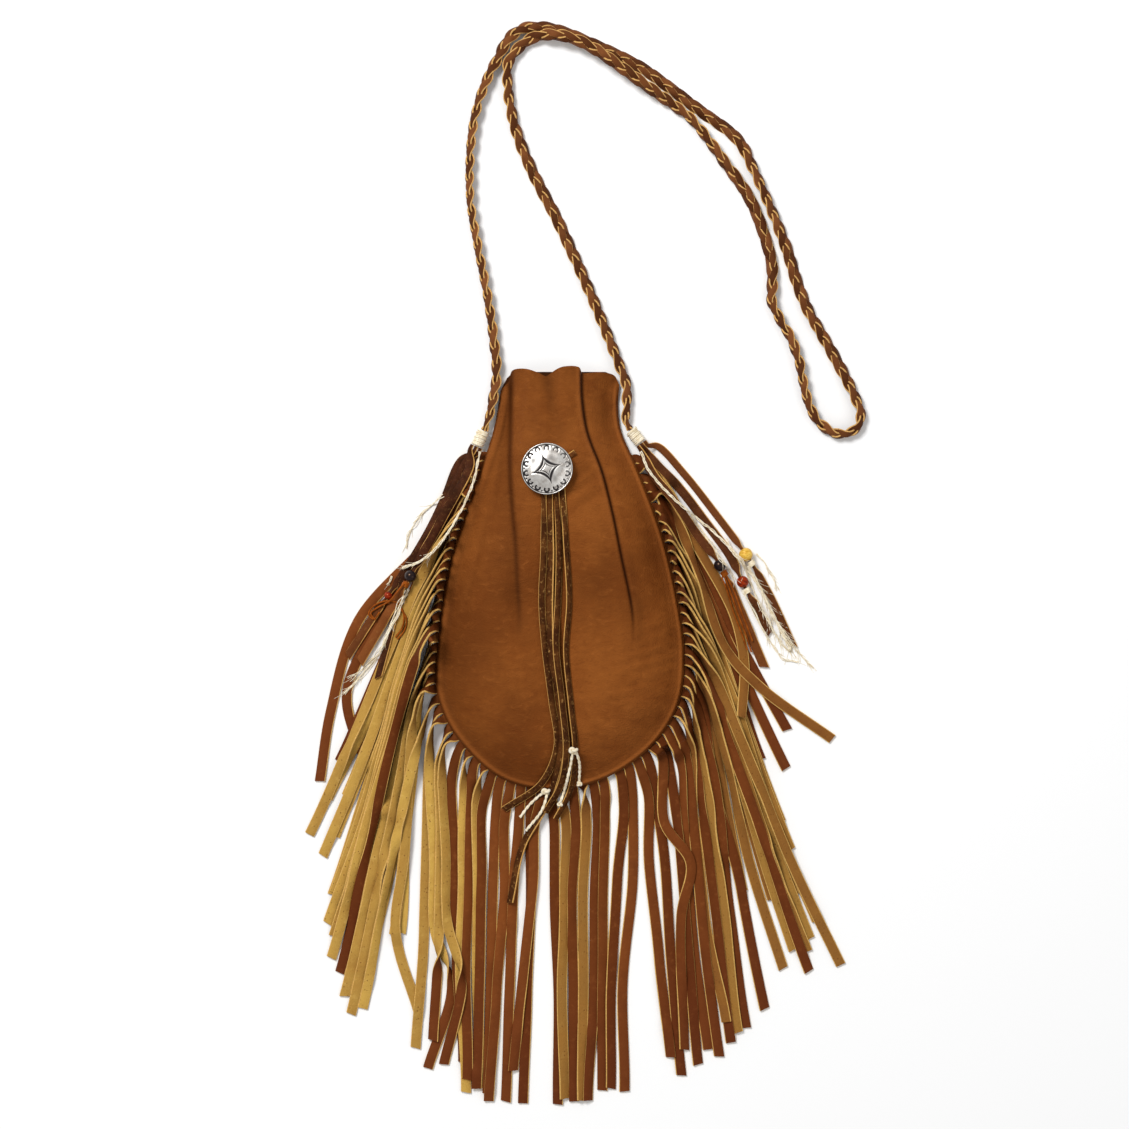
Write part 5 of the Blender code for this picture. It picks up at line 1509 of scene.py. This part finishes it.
def concho_relief(x, y):
    """Height over the disc's rim plane and share of tarnish, at points in radii from its middle."""
    r = np.hypot(x, y)
    around = np.arctan2(y, x)
    height = 0.0011 + (CONCHO_HEIGHT - 0.0011) * np.cos(np.clip(r / 0.9, 0, 1) * math.pi / 2) ** 0.9
    height = height + 0.0004 * np.exp(-((r - 0.97) / 0.025) ** 2)
    # hammered hollows, which catch the light unevenly
    height = height + 0.00010 * np.sin(x * 6.1 + 1.0) * np.sin(y * 5.3 + 0.4)
    height = height + 0.00005 * np.sin(x * 13 - y * 9)
    tarnish = 0.95 * np.exp(-((r - 0.935) / 0.020) ** 2) + 0.8 * np.exp(-((r - 1.0) / 0.02) ** 2)
    # a star with four long points: two cut outlines round a bright middle
    turn = math.radians(CONCHO_TURN)
    u, v = x * math.cos(turn) - y * math.sin(turn), x * math.sin(turn) + y * math.cos(turn)
    star = (np.abs(u) / 0.54) ** 0.62 + (np.abs(v) / 0.50) ** 0.62
    outline = np.exp(-((star - 1) / 0.13) ** 2) * (r < 0.62) + 0.8 * np.exp(-((star - 0.70) / 0.075) ** 2)
    height = height - 0.00026 * outline + 0.0001 * (star < 1)
    tarnish = tarnish + 1.0 * outline
    # scrolls with a dot in each, all round inside the rim
    count = 14
    for k in range(count):
        angle = 2 * math.pi * (k + 0.5) / count
        cx, cy = 0.80 * math.cos(angle), 0.80 * math.sin(angle)
        p = (x - cx) * math.cos(angle) + (y - cy) * math.sin(angle)
        q = (y - cy) * math.cos(angle) - (x - cx) * math.sin(angle)
        ring = np.hypot(p, q)
        open_side = smooth_step((p / np.maximum(ring, 1e-6) + 0.85) / 0.3)
        arc = np.exp(-((ring - 0.088) / 0.034) ** 2) * open_side
        dot = np.exp(-(np.hypot(p + 0.015, q) / 0.032) ** 2)
        height = height - 0.00020 * arc - 0.0001 * dot
        tarnish = tarnish + 1.0 * arc + 0.55 * dot
        between = np.exp(-(np.hypot(x - 0.87 * math.cos(angle + math.pi / count),
                                    y - 0.87 * math.sin(angle + math.pi / count)) / 0.036) ** 2)
        height = height - 0.0002 * between
        tarnish = tarnish + 0.9 * between
    # the left side of the rim is the darker one, and clouds of tarnish stay on the face
    side = 0.5 - 0.5 * np.cos(around - 0.6)
    tarnish = tarnish * (0.72 + 0.5 * side)
    cloud = np.exp(-(((x - 0.18) / 0.26) ** 2 + ((y - 0.40) / 0.20) ** 2))
    cloud += np.exp(-(((x + 0.52) / 0.16) ** 2 + ((y - 0.30) / 0.22) ** 2))
    cloud += 0.9 * np.exp(-(((x - 0.30) / 0.16) ** 2 + ((y + 0.34) / 0.26) ** 2))
    return height, np.clip(tarnish + 0.50 * cloud, 0, 1)


def make_concho(finish):
    radius = CONCHO_DIAMETER / 2
    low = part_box("concho")[0]
    rings, sides = 64, 160
    r = np.linspace(0, 1, rings + 1)[1:]
    angles = 2 * math.pi * np.arange(sides) / sides
    x, y = np.outer(r, np.cos(angles)), np.outer(r, np.sin(angles))
    height, tarnish = concho_relief(x, y)
    middle, dark = concho_relief(np.zeros(1), np.zeros(1))
    place = spot(*CONCHO_PLACE)
    base = low[2]
    top = np.stack((place[0] + x * radius, place[1] + y * radius, base + height), axis=-1).reshape(-1, 3)
    back = top.copy()
    back[:, 2] = np.maximum(back[:, 2] - 0.0009, base)
    verts = np.vstack((top, [[*place, base + middle[0]]], back, [[*place, base + middle[0] - 0.0009]]))
    count = rings * sides + 1
    faces = []
    for start, flip in ((0, False), (count, True)):
        for i in range(rings - 1):
            for k in range(sides):
                j = (k + 1) % sides
                a, b = start + i * sides, start + (i + 1) * sides
                face = (a + k, b + k, b + j, a + j)
                faces.append(face[::-1] if flip else face)
        for k in range(sides):
            face = (start + count - 1, start + k, start + (k + 1) % sides)
            faces.append(face[::-1] if flip else face)
    edge = (rings - 1) * sides
    for k in range(sides):
        j = (k + 1) % sides
        faces.append((edge + k, count + edge + k, count + edge + j, edge + j))
    tarnish = np.concatenate((tarnish.ravel(), dark, np.full(count, 0.5)))
    make_piece("concho_stamped", verts, faces, [finish], values={"tarnish": tarnish}, sharp=60,
               replaces="concho")
    HEIGHTS.cover(top[:, 0], top[:, 1], top[:, 2])


# Stage

def make_stage():
    mesh = bpy.data.meshes.new("floor")
    mesh.from_pydata([(-6, -6, 0), (6, -6, 0), (6, 6, 0), (-6, 6, 0)], [], [(0, 1, 2, 3)])
    mesh.materials.append(floor_finish().material)
    floor = bpy.data.objects.new("floor", mesh)
    floor.location.z = -0.0001
    bpy.context.scene.collection.objects.link(floor)
    world = bpy.data.worlds.new("studio")
    world.use_nodes = True
    world.node_tree.nodes["Background"].inputs[0].default_value = (1, 1, 1, 1)
    world.node_tree.nodes["Background"].inputs[1].default_value = 0.50
    bpy.context.scene.world = world
    for name, place, size, power in (("key", (-0.9, 1.1, 1.9), 0.7, 46), ("fill", (1.6, -0.6, 1.8), 1.6, 7)):
        light = bpy.data.lights.new(name, "AREA")
        light.size = size
        light.energy = power
        lamp = bpy.data.objects.new(name, light)
        lamp.location = place
        lamp.rotation_euler = (-Vector(place)).to_track_quat("-Z", "Y").to_euler()
        bpy.context.scene.collection.objects.link(lamp)
    bpy.context.scene.view_settings.view_transform = "Standard"


# The bag

make_camera()
pale_edge = cut_edge()
braid = braid_leather()
make_strap([braid, braid, cut_edge("strap_cut_edge", (224, 174, 104))])

suede = strip_suede()
grain = strip_grain()
strip_finishes = [grain, suede, cut_edge("fringe_cut_edge", (222, 176, 98), True)]
left_fringe = make_fringe("left_fringe", LEFT_RUN, LEFT_TIPS, LEFT_BY_WAY, LEFT_ON_TOP, 1, False,
                          strip_finishes, "fringe_band_left")
right_fringe = make_fringe("right_fringe", RIGHT_RUN, RIGHT_TIPS, RIGHT_BY_WAY, RIGHT_ON_TOP, -1, True,
                           strip_finishes, "fringe_band_right")
pouch = pouch_leather()
# the inner side's near-black colour is painted shade inside the pouch
inside = shaded_inner_side()
front_leather = make_front_panel([pouch, inside, pale_edge])
back_leather = make_back_panel([inside, pouch, cut_edge("back_cut_edge", (150, 104, 56))])

sinew = sinew_fibre()
lace = lace_leather()
make_binding("left_binding", LEFT_BINDING, sinew, 41)
make_binding("right_binding", RIGHT_BINDING, sinew, 42)

dark_thong = thong_leather("thong_dark", (50, 26, 16), (78, 42, 26), 0.12)
concho_thong = thong_leather("thong_rough", (58, 30, 14), (92, 54, 24), 0.55)
thong_edge = cut_edge("thong_cut_edge", (222, 168, 92))
make_concho_thongs([concho_thong, concho_thong, thong_edge])
make_concho(concho_silver())
for number, (name, route) in enumerate(TIES.items()):
    make_tie(name, route, TIE_KNOTS[name], sinew, 60 + number)

bead_finishes = {
    "dark": bead_finish("bead_dark", (12, 12, 18), (28, 25, 32), 0.24),
    "red": bead_finish("bead_red", (100, 18, 4), (158, 48, 12), 0.24),
    "yellow": bead_finish("bead_yellow", (196, 144, 44), (232, 192, 88), 0.3),
    "lace": lace,
    "sinew": sinew,
}
tassel_finishes = [dark_thong, dark_thong, thong_edge]
make_tassel("left", LEFT_BINDING, LEFT_TASSEL, LEFT_LOOKS, tassel_finishes, bead_finishes, 70)
make_tassel("right", RIGHT_BINDING, RIGHT_TASSEL, RIGHT_LOOKS, tassel_finishes, bead_finishes, 80)
make_laces(("left_lace_loop", "left_lace_end_1", "left_lace_end_2"), LEFT_LACES, lace, "left_lace")
make_laces(("right_lace_end_1", "right_lace_end_2", "right_lace_end_3"), RIGHT_LACES, lace)
make_sinew("left_sinew", SINEWS["left_sinew"], sinew, 90, (26, 0.008, 0.25))
make_sinew("right_sinew", SINEWS["right_sinew"], sinew, 120, (90, 0.013, 0.22))
for side, strands in (("left", LEFT_FIBRES), ("right", RIGHT_FIBRES)):
    names = [f"{side}_loose_strand_{k + 1}" for k in range(len(strands))]
    make_strands(names, strands, sinew, 300 + len(side))

make_stage()
